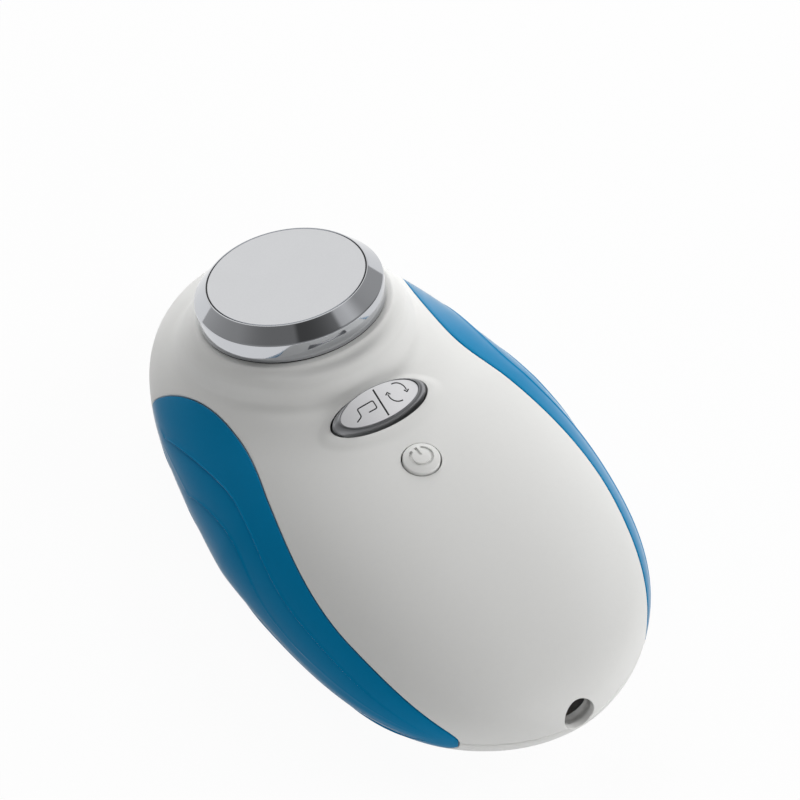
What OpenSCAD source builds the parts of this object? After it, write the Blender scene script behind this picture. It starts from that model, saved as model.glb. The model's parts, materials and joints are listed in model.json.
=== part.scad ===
// Hand-held facial toning device: an egg-shaped two-part case with soft side grips,
// a polished treatment head on a flared neck, a mode rocker, a power key and a plug inlet.
// Millimetres. +Y points to the head, +Z up, the flat underside stands on z = 0.

/* [Body] */
// Length of the case
body_l = 132.6; // [126:0.2:140]
// Width of the case
body_w = 76.6; // [72:0.2:82]
// Height of the crown above the parting line
crown_h = 20.8; // [19.5:0.1:22.5]
// Depth of the belly below the parting line
belly_d = 9.15; // [8.6:0.05:10.5]
// How much of the belly is cut away to make the flat rest
rest_cut = 0.3; // [0.15:0.05:0.6]
// Wall of both case halves
wall = 2.2; // [1.8:0.1:2.4]
// Narrowing of the outline towards the head
outline_taper = 0.08; // [0:0.01:0.12]
// Fullness of the outline's ends
outline_full = 0.48; // [0.35:0.01:0.55]
// Falling of the crown towards the head
crown_taper = 0.255; // [0.2:0.005:0.3]
// Squareness of the section above the parting line, 2 is an ellipse
crown_square = 2.25; // [2.1:0.05:2.5]
// Squareness of the section below the parting line
belly_square = 3; // [2.6:0.1:3.4]

/* [Treatment head] */
// Distance of the head's face from the nose
head_in = 29.9; // [28.5:0.1:32]
// Height of the head's face above the parting line
head_z = 26.85; // [25.5:0.05:29]
// Forward tilt of the head
head_tilt = 15.9; // [10:0.5:18]
// Radius of the head
head_r = 19.05; // [18:0.05:19.6]
// Width of the bevel round the face
bevel_w = 2.5; // [1.5:0.1:3.5]
// Height of the bevel
bevel_h = 3.05; // [2:0.05:4]
// Height of the band below the bevel
band_h = 3.85; // [3:0.05:4.5]
// Radius of the threaded spigot
spigot_r = 15; // [14.2:0.1:15.4]
// Thickness of the head's face
face_t = 1.5; // [1:0.1:2.5]
// Radius of the cup inside the spigot
cup_r = 13.2; // [12.8:0.1:13.4]
// Thickness of the seal under the band
seal_t = 0.5; // [0.4:0.05:0.8]
// Height of the retaining nut
nut_h = 3.4; // [2.5:0.1:3.8]
// Radius of the piezo disc
piezo_r = 12.5; // [10:0.1:12.6]
// Thickness of the piezo disc
piezo_t = 1.6; // [1:0.1:2.2]

/* [Neck] */
// How far the neck's top edge stands out round the head
neck_step = 1.15; // [0.95:0.05:2]
// Radius at which the neck's flare runs out towards the tail
flare_r = 42.4; // [38:0.2:44]
// Radius at which it runs out beside and before the neck
flare_side = 33; // [30:0.2:38]
// Hollowness of the flare
flare_p = 2.4; // [2:0.1:2.8]
// Thickness of the flange that the head is clamped to
flange_t = 3; // [2.4:0.1:3.4]

/* [Grips] */
// Distance of the side grips' front end from the nose
grip_nose = 25.2; // [23:0.2:28]
// Distance of their rear end from the tail
grip_tail = 8.6; // [7.5:0.1:12]
// Angle round the section that the grips rise to at the front
grip_rise = 51; // [44:0.5:53]
// Angle round the section that the grips rise to at the back
grip_rise_back = 32; // [26:0.5:34]
// Angle round the section that the grips reach down to
grip_drop = 40; // [32:0.5:44]
// Gap between a grip and the case
grip_gap = 0.15; // [0.1:0.05:0.25]
// Width of the lip that holds a grip behind the case wall
lip_w = 2; // [1.4:0.1:2.4]
// Thickness of that lip
lip_t = 1.2; // [0.8:0.1:1.4]
// Height of each of the two steps in a grip
step_h = 0.45; // [0.2:0.05:0.6]

/* [Mode rocker] */
// Distance of the rocker behind the middle of the head's face
rocker_back = 34.4; // [33.6:0.1:36]
// Height of the middle of its plate above the parting line
rocker_z = 22.8; // [22.5:0.1:23.4]
// Tilt of the rocker towards the user
rocker_tilt = 18; // [15:0.5:20]
// Half the length of its plate
plate_a = 8.9; // [8:0.1:9.4]
// Half the width of its plate
plate_b = 3.45; // [3.2:0.05:3.7]
// Width of the sloping flank round the plate
flank_w = 1.9; // [1.5:0.1:2.2]
// Height of the flank
flank_h = 1.45; // [1.1:0.05:1.6]
// Gap round the rocker in the case
rocker_gap = 0.3; // [0.25:0.05:0.4]
// Radius of the pivot pin
pin_r = 1; // [0.8:0.05:1.1]
// Distance of each peg from the pivot
peg_x = 7; // [6.5:0.1:7.5]

/* [Power key] */
// Distance of the power key behind the rocker
power_back = 14.4; // [13.8:0.1:17]
// Radius of the power key
power_r = 4.05; // [3.6:0.05:4.4]
// How far the key stands above the case
power_proud = 0.45; // [0.2:0.05:0.8]
// Gap round the key
power_gap = 0.2; // [0.15:0.05:0.3]

/* [Plug inlet] */
// Height of the inlet's axis above the parting line
inlet_z = 2.8; // [2.5:0.05:3]
// Radius of the inlet's hole in the case
inlet_r = 3.4; // [3.2:0.05:3.5]
// Radius of the socket's bore
socket_r = 2.8; // [2.7:0.05:2.85]
// Radius of the contact pin in the socket
contact_r = 1; // [0.8:0.05:1.25]

/* [Circuit board] */
// Height of the board's top above the parting line
board_z = 10; // [9.8:0.1:10.2]
// Width of the board
board_w = 36; // [34:0.5:36.5]
// Thickness of the board
board_t = 1.6; // [1.2:0.1:1.8]
// Height of a switch body on the board
switch_h = 3.5; // [3:0.1:3.6]
// How far a plunger stands above its switch
plunger_h = 0.8; // [0.6:0.05:0.9]
// Width of a switch body
switch_w = 6; // [5.6:0.1:6.4]
// Width of each leg of the transformer's core
leg_w = 3; // [2.6:0.1:3.2]
// Height of the transformer's core
core_h = 12; // [10:0.2:12.4]
// Radius of the capacitors
cap_r = 4; // [3.4:0.1:4.2]
// Height of the capacitors
cap_h = 11; // [9:0.2:12]
// Length of the control chip
chip_l = 18; // [16:0.5:20]
// Radius of the piezo disc's leads
lead_r = 0.55; // [0.4:0.05:0.7]

/* [Fasteners] */
// Radius of the case screws' shanks
screw_r = 1.4; // [1.2:0.05:1.5]
// Radius of the case screws' heads
screw_head_r = 2.6; // [2.4:0.05:2.7]
// Radius of the screw bosses
boss_r = 3.2; // [3:0.1:3.4]

/* [Hidden] */
$fn = 48;

half_l = body_l / 2;
head_y = half_l - head_in;
rocker_y = head_y - rocker_back;
power_y = rocker_y - power_back;
neck_r = head_r + neck_step;
grip_front = half_l - grip_nose;
grip_back = grip_tail - half_l;
part_z = belly_d - rest_cut;      // height of the parting line above the rest
skin = 0.6;                       // least plastic left over a boss
cut = 10;                         // reach of a cut past the wall it opens
face_r = head_r - bevel_w;
face_edge = 0.8;                  // rounding of the face's edge
crisp = 0.15;                     // small chamfer on the head's other edges
seam_d = bevel_h + band_h;        // depth of the band's lower edge below the face
land_d = seam_d + seal_t;         // depth of the land that the seal lies on
nut_d = land_d + flange_t;        // depth at which the nut bears
thread_end = 0.8;                 // thread left below the nut
spigot_d = nut_d + nut_h + thread_end;
neck_gap = 0.2;                   // from the band down to the neck's top edge
seal_in = 0.2;                    // how far the seal lies behind the band
flange_in = 0.6;                  // how far the flange lies behind the neck's edge
spigot_fit = 0.12;                // radial play of the spigot in the flange
thread_fit = 0.05;
screw_fit = 0.1;                  // radial play of a screw in its pilot
shank_fit = 0.25;                 // radial play of a screw in a clearance hole
head_fit = 0.3;                   // radial play of a screw's head
pilot_room = 0.5;                 // depth of a pilot past its screw's end
rim_play = 0.4;                   // play between a grip's lip and the inside of the wall
tip_play = 0.6;                   // further play at the pointed ends of a grip
white = [0.92, 0.92, 0.91];
blue = [0.02, 0.43, 0.62];
chrome = [0.75, 0.76, 0.78];
dark = [0.12, 0.12, 0.13];

// exponents and bends of the outline, the crown, the belly and the grips' outline
outline_p = 1.56;
outline_q = 1.72;
crown_p = 1.78;
crown_q = 2.11;
crown_bow = 0.19;
belly_p = 4;
belly_q = 2.5;
edge_bend = [4.3, 0.53];          // exponents of a grip's outline
edge_fall = [0.265, 0.5];         // where along it the upper edge starts to fall, and over how much
step_bend = [2, 0.6];
// each step: its set-backs from the grip's two ends, its rise at the front and back, its fall
steps = [[7.2, 3, 38.2, 22, [0.284, 0.354]], [22.5, 26.9, 23.7, 7.8, [0.331, 0.41]]];

// ---------- the egg shape ----------
function power(b, e) = b <= 0 ? 0 : pow(b, e);
function along(y) = max(-1, min(1, y / half_l));
function half_w(y) = let (s = along(y))
    body_w / 2 * (1 - outline_taper * s + outline_full * s * s)
    * power(1 - pow(abs(s), outline_p), 1 / outline_q);
function crown(y) = let (s = along(y))
    crown_h * (1 - crown_taper * s - crown_bow * s * s) * power(1 - pow(abs(s), crown_p), 1 / crown_q);
function belly(y) = let (s = along(y)) belly_d * power(1 - pow(abs(s), belly_p), 1 / belly_q);
function rounded(k, n) = power(1 - pow(min(1, abs(k)), n), 1 / n);
function share(x, y) = half_w(y) < 0.001 ? 1 : x / half_w(y);
function egg_z(x, y) = crown(y) * rounded(share(x, y), crown_square);
function belly_z(x, y) = -belly(y) * rounded(share(x, y), belly_square);

// the neck rises out of the egg round the head's axis
neck_y = head_y - (seam_d + neck_gap) * sin(head_tilt);
neck_z = head_z - (seam_d + neck_gap) * cos(head_tilt);
function neck_plane(y) = neck_z - tan(head_tilt) * (y - neck_y);
function from_neck(x, y) = norm([x, (y - neck_y) / cos(head_tilt)]);
function flare(x, y) = let (
    away = from_neck(x, y),
    behind = max(0, neck_y - y) / cos(head_tilt) / max(away, 0.001),
    reach = flare_side + (flare_r - flare_side) * behind * behind)
    pow(max(0, min(1, (reach - away) / (reach - neck_r))), flare_p);
function top_z(x, y) = let (z = egg_z(x, y), w = flare(x, y))
    z <= 0 ? 0 : pow(z, 1 - w) * pow(neck_plane(y), w);

// ---------- the grips' outline and steps ----------
function grip_t(y) = (y - grip_front) / (grip_back - grip_front);
function leaf(t, bend) = power(1 - pow(abs(2 * t - 1), bend[0]), bend[1]);
function eased(u) = let (v = max(0, min(1, u))) v * v * (3 - 2 * v);
// a leaf-shaped line's angle round the section, high at the front and falling to the back
function crest(y, front, back, rise, rise_back, fall, bend) = let (t = (y - front) / (back - front))
    t <= 0 || t >= 1 ? 0 :
    leaf(t, bend) * (rise_back + (rise - rise_back) * (1 - eased((t - fall[0]) / fall[1])));
function edge_up(y) = crest(y, grip_front, grip_back, grip_rise, grip_rise_back, edge_fall, edge_bend);
function edge_down(y) = crest(y, grip_front, grip_back, grip_drop, grip_drop, edge_fall, edge_bend);
function step_up(y, k) = let (s = steps[k])
    crest(y, grip_front - s[0], grip_back + s[1], s[2], s[3], s[4], step_bend);

// a point of the skin at an angle round the section, negative below the parting line
function skin_point(y, a) = a >= 0
    ? let (x = half_w(y) * power(cos(a), 2 / crown_square)) [x, y, top_z(x, y)]
    : let (x = half_w(y) * power(cos(a), 2 / belly_square)) [x, y, belly_z(x, y)];
function unit(v) = v / max(norm(v), 1e-9);
function skin_normal(y, a) = abs(y) > half_l - 0.2 ? [0, sign(y), 0] :
    unit(cross(skin_point(y + 0.2, a) - skin_point(y - 0.2, a),
               skin_point(y, a + 0.8) - skin_point(y, a - 0.8)));
function sunk(y, a, d) = skin_point(y, a) - d * skin_normal(y, a);

// ---------- the rim of each half, from the nose round the left side to the tail ----------
nose_n = 8;
side_n = 22;
tail_n = 6;
half_n = nose_n + side_n + tail_n;
rim_ys = concat(
    [for (k = [0 : nose_n - 1]) grip_front + (half_l - grip_front) * (1 - pow(k / nose_n, 2))],
    [for (k = [0 : side_n - 1]) grip_front + (grip_back - grip_front) * (1 - cos(180 * k / side_n)) / 2],
    [for (k = [0 : tail_n]) -half_l + (grip_back + half_l) * pow(1 - k / tail_n, 2)]);
function flip(p) = [-p[0], p[1], p[2]];
function all_round(left) = concat(left, [for (i = [half_n - 1 : -1 : 1]) flip(left[i])]);
upper_rim = all_round([for (y = rim_ys) flip(skin_point(y, edge_up(y)))]);
lower_rim = all_round([for (y = rim_ys) flip(skin_point(y, -edge_down(y)))]);
ring_n = 2 * half_n;

// ---------- shells as two grids of points, the skin and its offset ----------
function wrap(i, n) = (i + n) % n;
function turn_at(x, y, square) = acos(min(1, power(abs(share(x, y)), square / 2)));
function inward(p, above) = let (
    a = above ? turn_at(p[0], p[1], crown_square) : -turn_at(p[0], p[1], belly_square),
    n = skin_normal(p[1], a),
    q = p - wall * [p[0] < 0 ? -n[0] : n[0], n[1], n[2]])
    abs(p[2]) < 0.01 ? [q[0], q[1], 0] : q;
function offset_grid(g, above) = [for (line = g) [for (p = line) inward(p, above)]];
function row_of(g) = [for (line = g) each line];
function quad(a, b, c, d) = [[a, b, c], [a, c, d]];
// each cell of a grid is split along its shorter diagonal
function sheet_faces(g, base, turned) = let (n = len(g), m = len(g[0]))
    [for (i = [0 : n - 1]) for (j = [0 : m - 2])
        let (k = wrap(i + 1, n), a = base + i * m + j, b = base + k * m + j,
             short = norm(g[i][j] - g[k][j + 1]) < norm(g[k][j] - g[i][j + 1]))
        each short ? (turned ? quad(a, b, b + 1, a + 1) : quad(a, a + 1, b + 1, b))
                   : (turned ? quad(b, b + 1, a + 1, a) : quad(b, a, a + 1, b + 1))];
function edge_faces(g, h, j, turned) = let (n = len(g), m = len(g[0]), base = n * m)
    [for (i = [0 : n - 1])
        let (k = wrap(i + 1, n), a = i * m + j, b = k * m + j,
             short = norm(g[i][j] - h[k][j]) < norm(g[k][j] - h[i][j]))
        each short ? (turned ? quad(a, b, base + b, base + a) : quad(a, base + a, base + b, b))
                   : (turned ? quad(b, base + b, base + a, a) : quad(b, a, base + a, base + b))];

rows_up = 15;
// the plan lines turn towards the tail behind the neck, so that they spread over the crown
turn_share = 0.45;
turn_from = 90;
turn_run = 50;
function neck_turn(p) = let (a = atan2(abs(p[0]), p[1] - neck_y))
    a + turn_share * (180 - a) * eased((a - turn_from) / turn_run);
function neck_point(i) = let (p = upper_rim[i], a = neck_turn(p), side = i <= half_n ? -1 : 1)
    [side * neck_r * sin(a), neck_y + neck_r * cos(a) * cos(head_tilt)];
function upper_point(i, j) = let (f = (1 - cos(180 * j / rows_up)) / 2,
                                  p = upper_rim[i], q = neck_point(i),
                                  x = q[0] + (p[0] - q[0]) * f, y = q[1] + (p[1] - q[1]) * f)
    j == rows_up ? p : [x, y, top_z(x, y)];
upper_grid = [for (i = [0 : ring_n - 1]) [for (j = [0 : rows_up]) upper_point(i, j)]];

rows_down = 8;
hub_y = -4;
function lower_point(i, j) = let (f = sin(90 * (j + 1) / (rows_down + 1)), p = lower_rim[i],
                                  x = p[0] * f, y = hub_y + (p[1] - hub_y) * f)
    j == rows_down ? p : [x, y, belly_z(x, y)];
lower_grid = [for (i = [0 : ring_n - 1]) [for (j = [0 : rows_down]) lower_point(i, j)]];

// ---------- places that follow from the sizes ----------
tail = -half_l;
nose = half_l;
case_spots = [[21.5, tail + 33.3], [17.3, nose - 45.3]];      // case screws, right-hand side
board_spots = [[13.5, tail + 26.3], [13.5, nose - 54.8]];     // board screws, right-hand side
board_low = board_z - board_t;
board_screw_r = 1;
board_screw_in = 3.2;
board_front = nose - 50.3;
board_back = tail + 19.3;
board_tail = 6;                   // tongue of the board that reaches the socket
board_tail_w = 13;
screw_seat = 5.2;                 // depth of the screw heads' seat below the parting line
screw_in = 9;                     // how far the case screws reach into the upper bosses
post_r = screw_head_r + head_fit + 0.7;
rib_t = 1.2;
rib_h = 2.4;                      // height of the ribs above the lower shell's floor
rib_gap = 9;                      // spacing of the lengthwise ribs
rib_run = [tail + 26, nose - 46];
post_gap = 0.15;                  // between a lower post and the boss above it
nut_w = 2.6;                      // width of the nut's ring
nut_r = spigot_r + nut_w;
nut_slot = 3;
flank_b = 1.15;                   // width of the rocker's flank across its length
flank_step = 0.3;                 // ledge at the foot of the flank
plate_t = 0.5;
plate_fit = 0.08;
groove_w = 0.3;                   // dividing line across the plate
groove_d = 0.12;
plate_lip = 0.35;                 // rim of the rocker round its plate
rock_room = 0.3;                  // further gap at the rocker's two ends
stop_d = 5.55;                    // depth of the rocker's stop rim below its plate
stop_t = 0.8;
stop_x = 0.7;
stop_y = 0.6;
pivot_y = rocker_y + (stop_d + stop_t) * sin(rocker_tilt);
pivot_z = 14.6;
hub_r = 2.2;
hub_play = 0.2;                   // end play of the rocker's hub between the ears
web_half = 4.6;
web_top = 18.2;
touch = 0.05;                     // gap over a plunger at rest
plunger_z = board_z + switch_h + plunger_h;
peg_z = plunger_z + touch;
peg_r = 1.2;
pin_run = 0.05;                   // radial play of the rocker on its pin
pin_press = 0.01;
pin_out = 0.5;                    // how far the pin stands out of the ears
ear_y = 7.2;
ear_t = 1.6;
ear_w = 5;
ear_in = 0.7;                     // share of the wall left over an ear
key_rim = 1.1;
key_rim_t = 0.8;
key_dome = 14;                    // radius of the key's domed top
key_stem_r = 1.6;
key_rim_z = top_z(0, power_y) - wall - 2 * key_rim_t;
collar_t = 1.5;
collar_l = 3.2;
socket_y = tail + 6.1;            // inner end of the inlet's collar
socket_wall = 0.8;
jack_y = socket_y + 0.3;
jack_barrel = 8;
jack_block = [9, 11];             // width and length of the socket's block
jack_back = 4.2;                  // from the barrel's mouth to the block
jack_low = 5;                     // from the socket's axis down to the block's underside
contact_in = 1.5;                 // from the socket's mouth in to the contact's tip
plunger_r = 1.7;
plunger_fit = 0.1;
plunger_in = 1;
plunger_room = 0.6;               // room under a plunger
core_at = [-5.5, -6];             // midway, as the board grows at both ends
core_d = 12;
core_yoke = 2.5;
coil_play = 0.1;
coil_out = 2.5;                   // how far the winding stands out of the core
cap_x = 9;
cap_y = board_back + 49;
cap_gap = 2;
resistor_y = power_y - 7.6;
resistor_r = 1.1;
resistor_l = 6;
resistor_pitch = 6;
chip_y = power_y - 17.6;
chip_w = 6.4;
chip_h = 3;
chip_lift = 0.6;
pin_pitch = 2.54;
leg = [0.6, 1.1, 2];              // size of one leg of the chip
leg_out = 0.35;                   // from the chip's side to a leg's middle
transistor_at = [-13, board_back + 16];
transistor = [10, 4.5, 11];
tab_t = 1.5;
sink_at = [-15, board_back + 20.5];
sink = [14, 1.6, 12];
fin_pitch = 3;
fin_t = 1.2;
fin_out = 5;
fin_in = 0.16;                    // how deep a fin's root is let into the plate
lead_x = 2.5;
lead_in = 4;                      // how far behind the board's front edge the leads are soldered
solder_r = 1.1;
solder_h = 0.5;
lead_back = 6;                    // from the head's axis back to the leads
lead_y0 = head_y - (face_t + piezo_t) * sin(head_tilt) - lead_back;
lead_z0 = head_z - (face_t + piezo_t) * cos(head_tilt) + lead_back * tan(head_tilt);

// ---------- skins ----------
module upper_skin() {
    inner = offset_grid(upper_grid, true);
    m = rows_up + 1;
    base = ring_n * m;
    polyhedron(concat(row_of(upper_grid), row_of(inner)),
        concat(sheet_faces(upper_grid, 0, true), sheet_faces(inner, base, false),
               edge_faces(upper_grid, inner, 0, false), edge_faces(upper_grid, inner, rows_up, true)));
}

module lower_skin() {
    inner = offset_grid(lower_grid, false);
    m = rows_down + 1;
    base = ring_n * m;
    hubs = [[0, hub_y, belly_z(0, hub_y)], [0, hub_y, belly_z(0, hub_y) + wall]];
    polyhedron(concat(row_of(lower_grid), row_of(inner), hubs),
        concat(sheet_faces(lower_grid, 0, false), sheet_faces(inner, base, true),
               edge_faces(lower_grid, inner, rows_down, false),
               [for (i = [0 : ring_n - 1]) let (k = wrap(i + 1, ring_n))
                   each [[2 * base, i * m, k * m], [2 * base + 1, base + k * m, base + i * m]]]));
}

module at_parting() {
    translate([0, 0, part_z]) children();
}

module head_frame() {
    at_parting() translate([0, head_y, head_z]) rotate([-head_tilt, 0, 0]) children();
}

// the frame of the rocker's plate, z along its normal
module rocker_frame() {
    at_parting() translate([0, rocker_y, rocker_z]) rotate([rocker_tilt, 0, 0]) children();
}

module ring(r_out, r_in, h) {
    difference() {
        cylinder(r = r_out, h = h);
        translate([0, 0, -1]) cylinder(r = r_in, h = h + 2);
    }
}

// an upright oval of half length a and half width b
module oval(a, b, h, z) {
    translate([0, 0, z]) scale([1, b / a, 1]) cylinder(r = a, h = h);
}

// a cylinder along the case, from y0 to y1
module lengthwise(r, y0, y1) {
    translate([0, y1, 0]) rotate([90, 0, 0]) cylinder(r = r, h = y1 - y0);
}

module mirrored() {
    children();
    mirror([1, 0, 0]) children();
}

// ---------- case ----------
function under_skin(x, y) = top_z(abs(x) + boss_r, y) - skin;
function over_skin(x, y) = belly_z(abs(x) + post_r, y) + skin;

// a boss that hangs from the upper shell down to z0, and the pilot hole in it
module boss(x, y, z0) {
    translate([x, y, z0]) cylinder(r = boss_r, h = under_skin(x, y) - z0);
}
module pilot(x, y, z0, r, depth) {
    translate([x, y, z0 - 1]) cylinder(r = r, h = depth + 1);
}

// an ear that carries one end of the rocker's pin
module ear(y) {
    translate([-ear_w / 2, y - ear_t / 2, pivot_z])
        cube([ear_w, ear_t, top_z(0, y) - ear_in * wall - pivot_z]);
    translate([0, 0, pivot_z]) lengthwise(ear_w / 2, y - ear_t / 2, y + ear_t / 2);
}

module inlet_hole() {
    translate([0, 0, inlet_z]) lengthwise(inlet_r, -half_l - 1, socket_y + 1);
}
// one shell's share of the collar round the inlet, from height z0 to z0 + 2 * cut
module collar(z0) {
    intersection() {
        translate([0, 0, inlet_z]) lengthwise(inlet_r + collar_t, socket_y - collar_l, socket_y);
        translate([-cut, -half_l, z0]) cube(2 * cut);
    }
}

module upper_shell() {
    color(white) {
        at_parting() difference() {
            union() {
                upper_skin();
                mirrored() for (p = case_spots) boss(p[0], p[1], 0);
                mirrored() for (p = board_spots) boss(p[0], p[1], board_z);
                for (s = [-1, 1]) ear(pivot_y + s * ear_y);
                collar(0);
            }
            mirrored() for (p = case_spots) pilot(p[0], p[1], 0, screw_r + screw_fit, screw_in + pilot_room);
            mirrored() for (p = board_spots)
                pilot(p[0], p[1], board_z, board_screw_r + screw_fit, board_screw_in + pilot_room);
            inlet_hole();
            translate([0, pivot_y, pivot_z]) lengthwise(pin_r + pin_press, -2 * cut, 2 * cut);
            translate([0, power_y, top_z(0, power_y) - cut / 2]) cylinder(r = power_r + power_gap, h = cut);
            translate([0, rocker_y, rocker_z]) rotate([rocker_tilt, 0, 0])
                oval(plate_a + flank_w + rocker_gap + rock_room, plate_b + flank_b + rocker_gap,
                     cut, -0.6 * cut);
        }
        head_frame() translate([0, 0, -nut_d]) ring(neck_r - flange_in, spigot_r + spigot_fit, flange_t);
    }
}

module lower_shell() {
    color(white) at_parting() difference() {
        union() {
            lower_skin();
            mirrored() for (p = case_spots) translate([p[0], p[1], over_skin(p[0], p[1])])
                cylinder(r = post_r, h = -post_gap - over_skin(p[0], p[1]));
            collar(-2 * cut);
            for (k = [-1 : 1]) translate([k * rib_gap - rib_t / 2, rib_run[0], skin - belly_d])
                cube([rib_t, rib_run[1] - rib_run[0], wall - skin + rib_h]);
            for (y = [rib_run[0], rib_run[1] - rib_t]) translate([-rib_gap, y, skin - belly_d])
                cube([2 * rib_gap, rib_t, wall - skin + rib_h]);
        }
        translate([-body_w, -half_l, -belly_d + rest_cut - cut]) cube([2 * body_w, body_l, cut]);
        mirrored() for (p = case_spots) translate([p[0], p[1], -belly_d - 1]) {
            cylinder(r = screw_head_r + head_fit, h = belly_d + 1 - screw_seat);
            cylinder(r = screw_r + shank_fit, h = belly_d + 2);
        }
        inlet_hole();
    }
}

// ---------- grips ----------
// One closed section of a grip at y: the stepped skin from the lower to the upper edge, and a
// lip behind the case wall on both sides.
grip_n = 7;
tip_p = 40;                       // how suddenly the play grows at a grip's ends
least_turn = 0.6;                 // least angle kept between a grip's edge and the parting line
least_w = 8;
riser_w = 0.25;                   // width of a step's riser
step_fade = 6;                    // angle over which a step fades in at its ends
function turn_of(mm, y) = mm / max(half_w(y), least_w) * 180 / PI;
function held(v, low, high) = min(max(v, low), high);
// angles and depths below the skin: the hollow under each step runs out at the parting line
function grip_skin(y, lo, hi) =
    let (a = held(step_up(y, 0), hi / 4, 0.8 * hi), b = held(step_up(y, 1), a / 4, 0.8 * a),
         w = min(turn_of(riser_w, y), b / 4), r = lo / hi,
         da = step_h * eased(step_up(y, 0) / step_fade), db = step_h * eased(step_up(y, 1) / step_fade),
         c = (a + b) / 2, dc = da * c / a, de = da * b / a)
    [[lo, 0], [(lo + r * a) / 2, 0], [r * a, 0], [r * (a - w), da], [r * c, dc], [r * b, de],
     [r * (b - w), de + db], [r * b / 2, (de + db) / 2], [0, 0], [b / 2, (de + db) / 2],
     [b - w, de + db], [b, de], [c, dc], [a - w, da], [a, 0],
     [(2 * a + hi) / 3, 0], [(a + 2 * hi) / 3, 0], [hi, 0]];
function grip_section(y) =
    let (play = grip_gap + 1.2 * tip_play * pow(abs(2 * grip_t(y) - 1), tip_p),
         g = turn_of(play, y), lip = turn_of(lip_w, y),
         hi = max(edge_up(y) - g, least_turn), lo = -max(edge_down(y) - g, least_turn),
         d1 = wall + rim_play, d2 = d1 + lip_t)
    concat([for (q = grip_skin(y, lo, hi)) sunk(y, q[0], q[1])],
           [sunk(y, hi, d1), sunk(y, hi + lip, d1)],
           [for (k = [grip_n : -1 : 0]) sunk(y, lo - lip + (hi - lo + 2 * lip) * k / grip_n, d2)],
           [sunk(y, lo - lip, d1), sunk(y, lo, d1)]);
tip_front = grip_front - grip_gap - tip_play;
tip_back = grip_back + grip_gap + tip_play;
grip_ys = [for (k = [0 : side_n]) tip_front + (tip_back - tip_front) * (1 - cos(180 * k / side_n)) / 2];
module loft(sections) {
    n = len(sections[0]);
    m = len(sections);
    polyhedron([for (s = sections) each s],
        concat([[for (i = [0 : n - 1]) i]], [[for (i = [n - 1 : -1 : 0]) (m - 1) * n + i]],
               [for (j = [0 : m - 2]) for (i = [0 : n - 1]) let (a = j * n + i, b = j * n + wrap(i + 1, n))
                   each [[a, b + n, b], [a, a + n, b + n]]]));
}
module grip() {
    color(blue) at_parting() loft([for (y = grip_ys) grip_section(y)]);
}
module grip_right() {
    grip();
}
module grip_left() {
    mirror([1, 0, 0]) grip();
}

// ---------- treatment head ----------
module treatment_head() {
    rounding = [for (a = [90 : -18 : 36]) [face_r + face_edge * (cos(a) - 1), face_edge * (sin(a) - 1)]];
    profile = concat([[0, 0]], rounding,
        [[head_r - crisp, -bevel_h + crisp], [head_r, -bevel_h - crisp], [head_r, -seam_d + crisp],
         [head_r - crisp, -seam_d], [spigot_r, -seam_d], [spigot_r, -spigot_d], [cup_r, -spigot_d],
         [cup_r, -face_t], [0, -face_t]]);
    color(chrome) head_frame() rotate_extrude($fn = 96) polygon(profile);
}

module head_seal() {
    color(dark) head_frame() translate([0, 0, -land_d])
        ring(head_r - seal_in, spigot_r + screw_fit, seal_t);
}

module head_nut() {
    color([0.2, 0.2, 0.22]) head_frame() translate([0, 0, -nut_d - nut_h]) difference() {
        ring(nut_r, spigot_r + thread_fit, nut_h);
        for (a = [0 : 60 : 300]) rotate([0, 0, a])
            translate([nut_r - nut_slot / 3, -nut_slot / 2, -nut_slot / 2]) cube(nut_slot);
    }
}

module piezo_disc() {
    color([0.85, 0.82, 0.72]) head_frame() translate([0, 0, -face_t - piezo_t])
        cylinder(r = piezo_r, h = piezo_t);
}

// two leads from the piezo disc to the front edge of the board
function lead_path(x) =
    [[x, lead_y0, lead_z0 - lead_r], [x, lead_y0 - 1, lead_z0 - 3.6],
     [x, board_front + 12, 11], [x, board_front + 7, 9.6],
     [x, board_front + 1.5, board_z + 2], [x, board_front - 2, board_z + 1.6],
     [x, board_front - lead_in, board_z + lead_r + touch]];
module tube_along(path, r) {
    sides = 8;
    n = len(path);
    function heading(i) = unit(path[min(i + 1, n - 1)] - path[max(i - 1, 0)]);
    loft([for (i = [0 : n - 1]) let (t = heading(i), u = [1, 0, 0], v = cross(t, u))
        [for (k = [0 : sides - 1]) path[i] + r * (cos(360 * k / sides) * u + sin(360 * k / sides) * v)]]);
}
module piezo_leads() {
    color("firebrick") for (x = [-lead_x, lead_x]) {
        at_parting() {
            tube_along(lead_path(x), lead_r);
            translate([x, board_front - lead_in, board_z]) cylinder(r = solder_r, h = 2 * solder_h);
        }
        head_frame() translate([x, -lead_back / cos(head_tilt), -face_t - piezo_t - 2 * solder_h])
            cylinder(r = solder_r, h = 2 * solder_h);
    }
}

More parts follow.
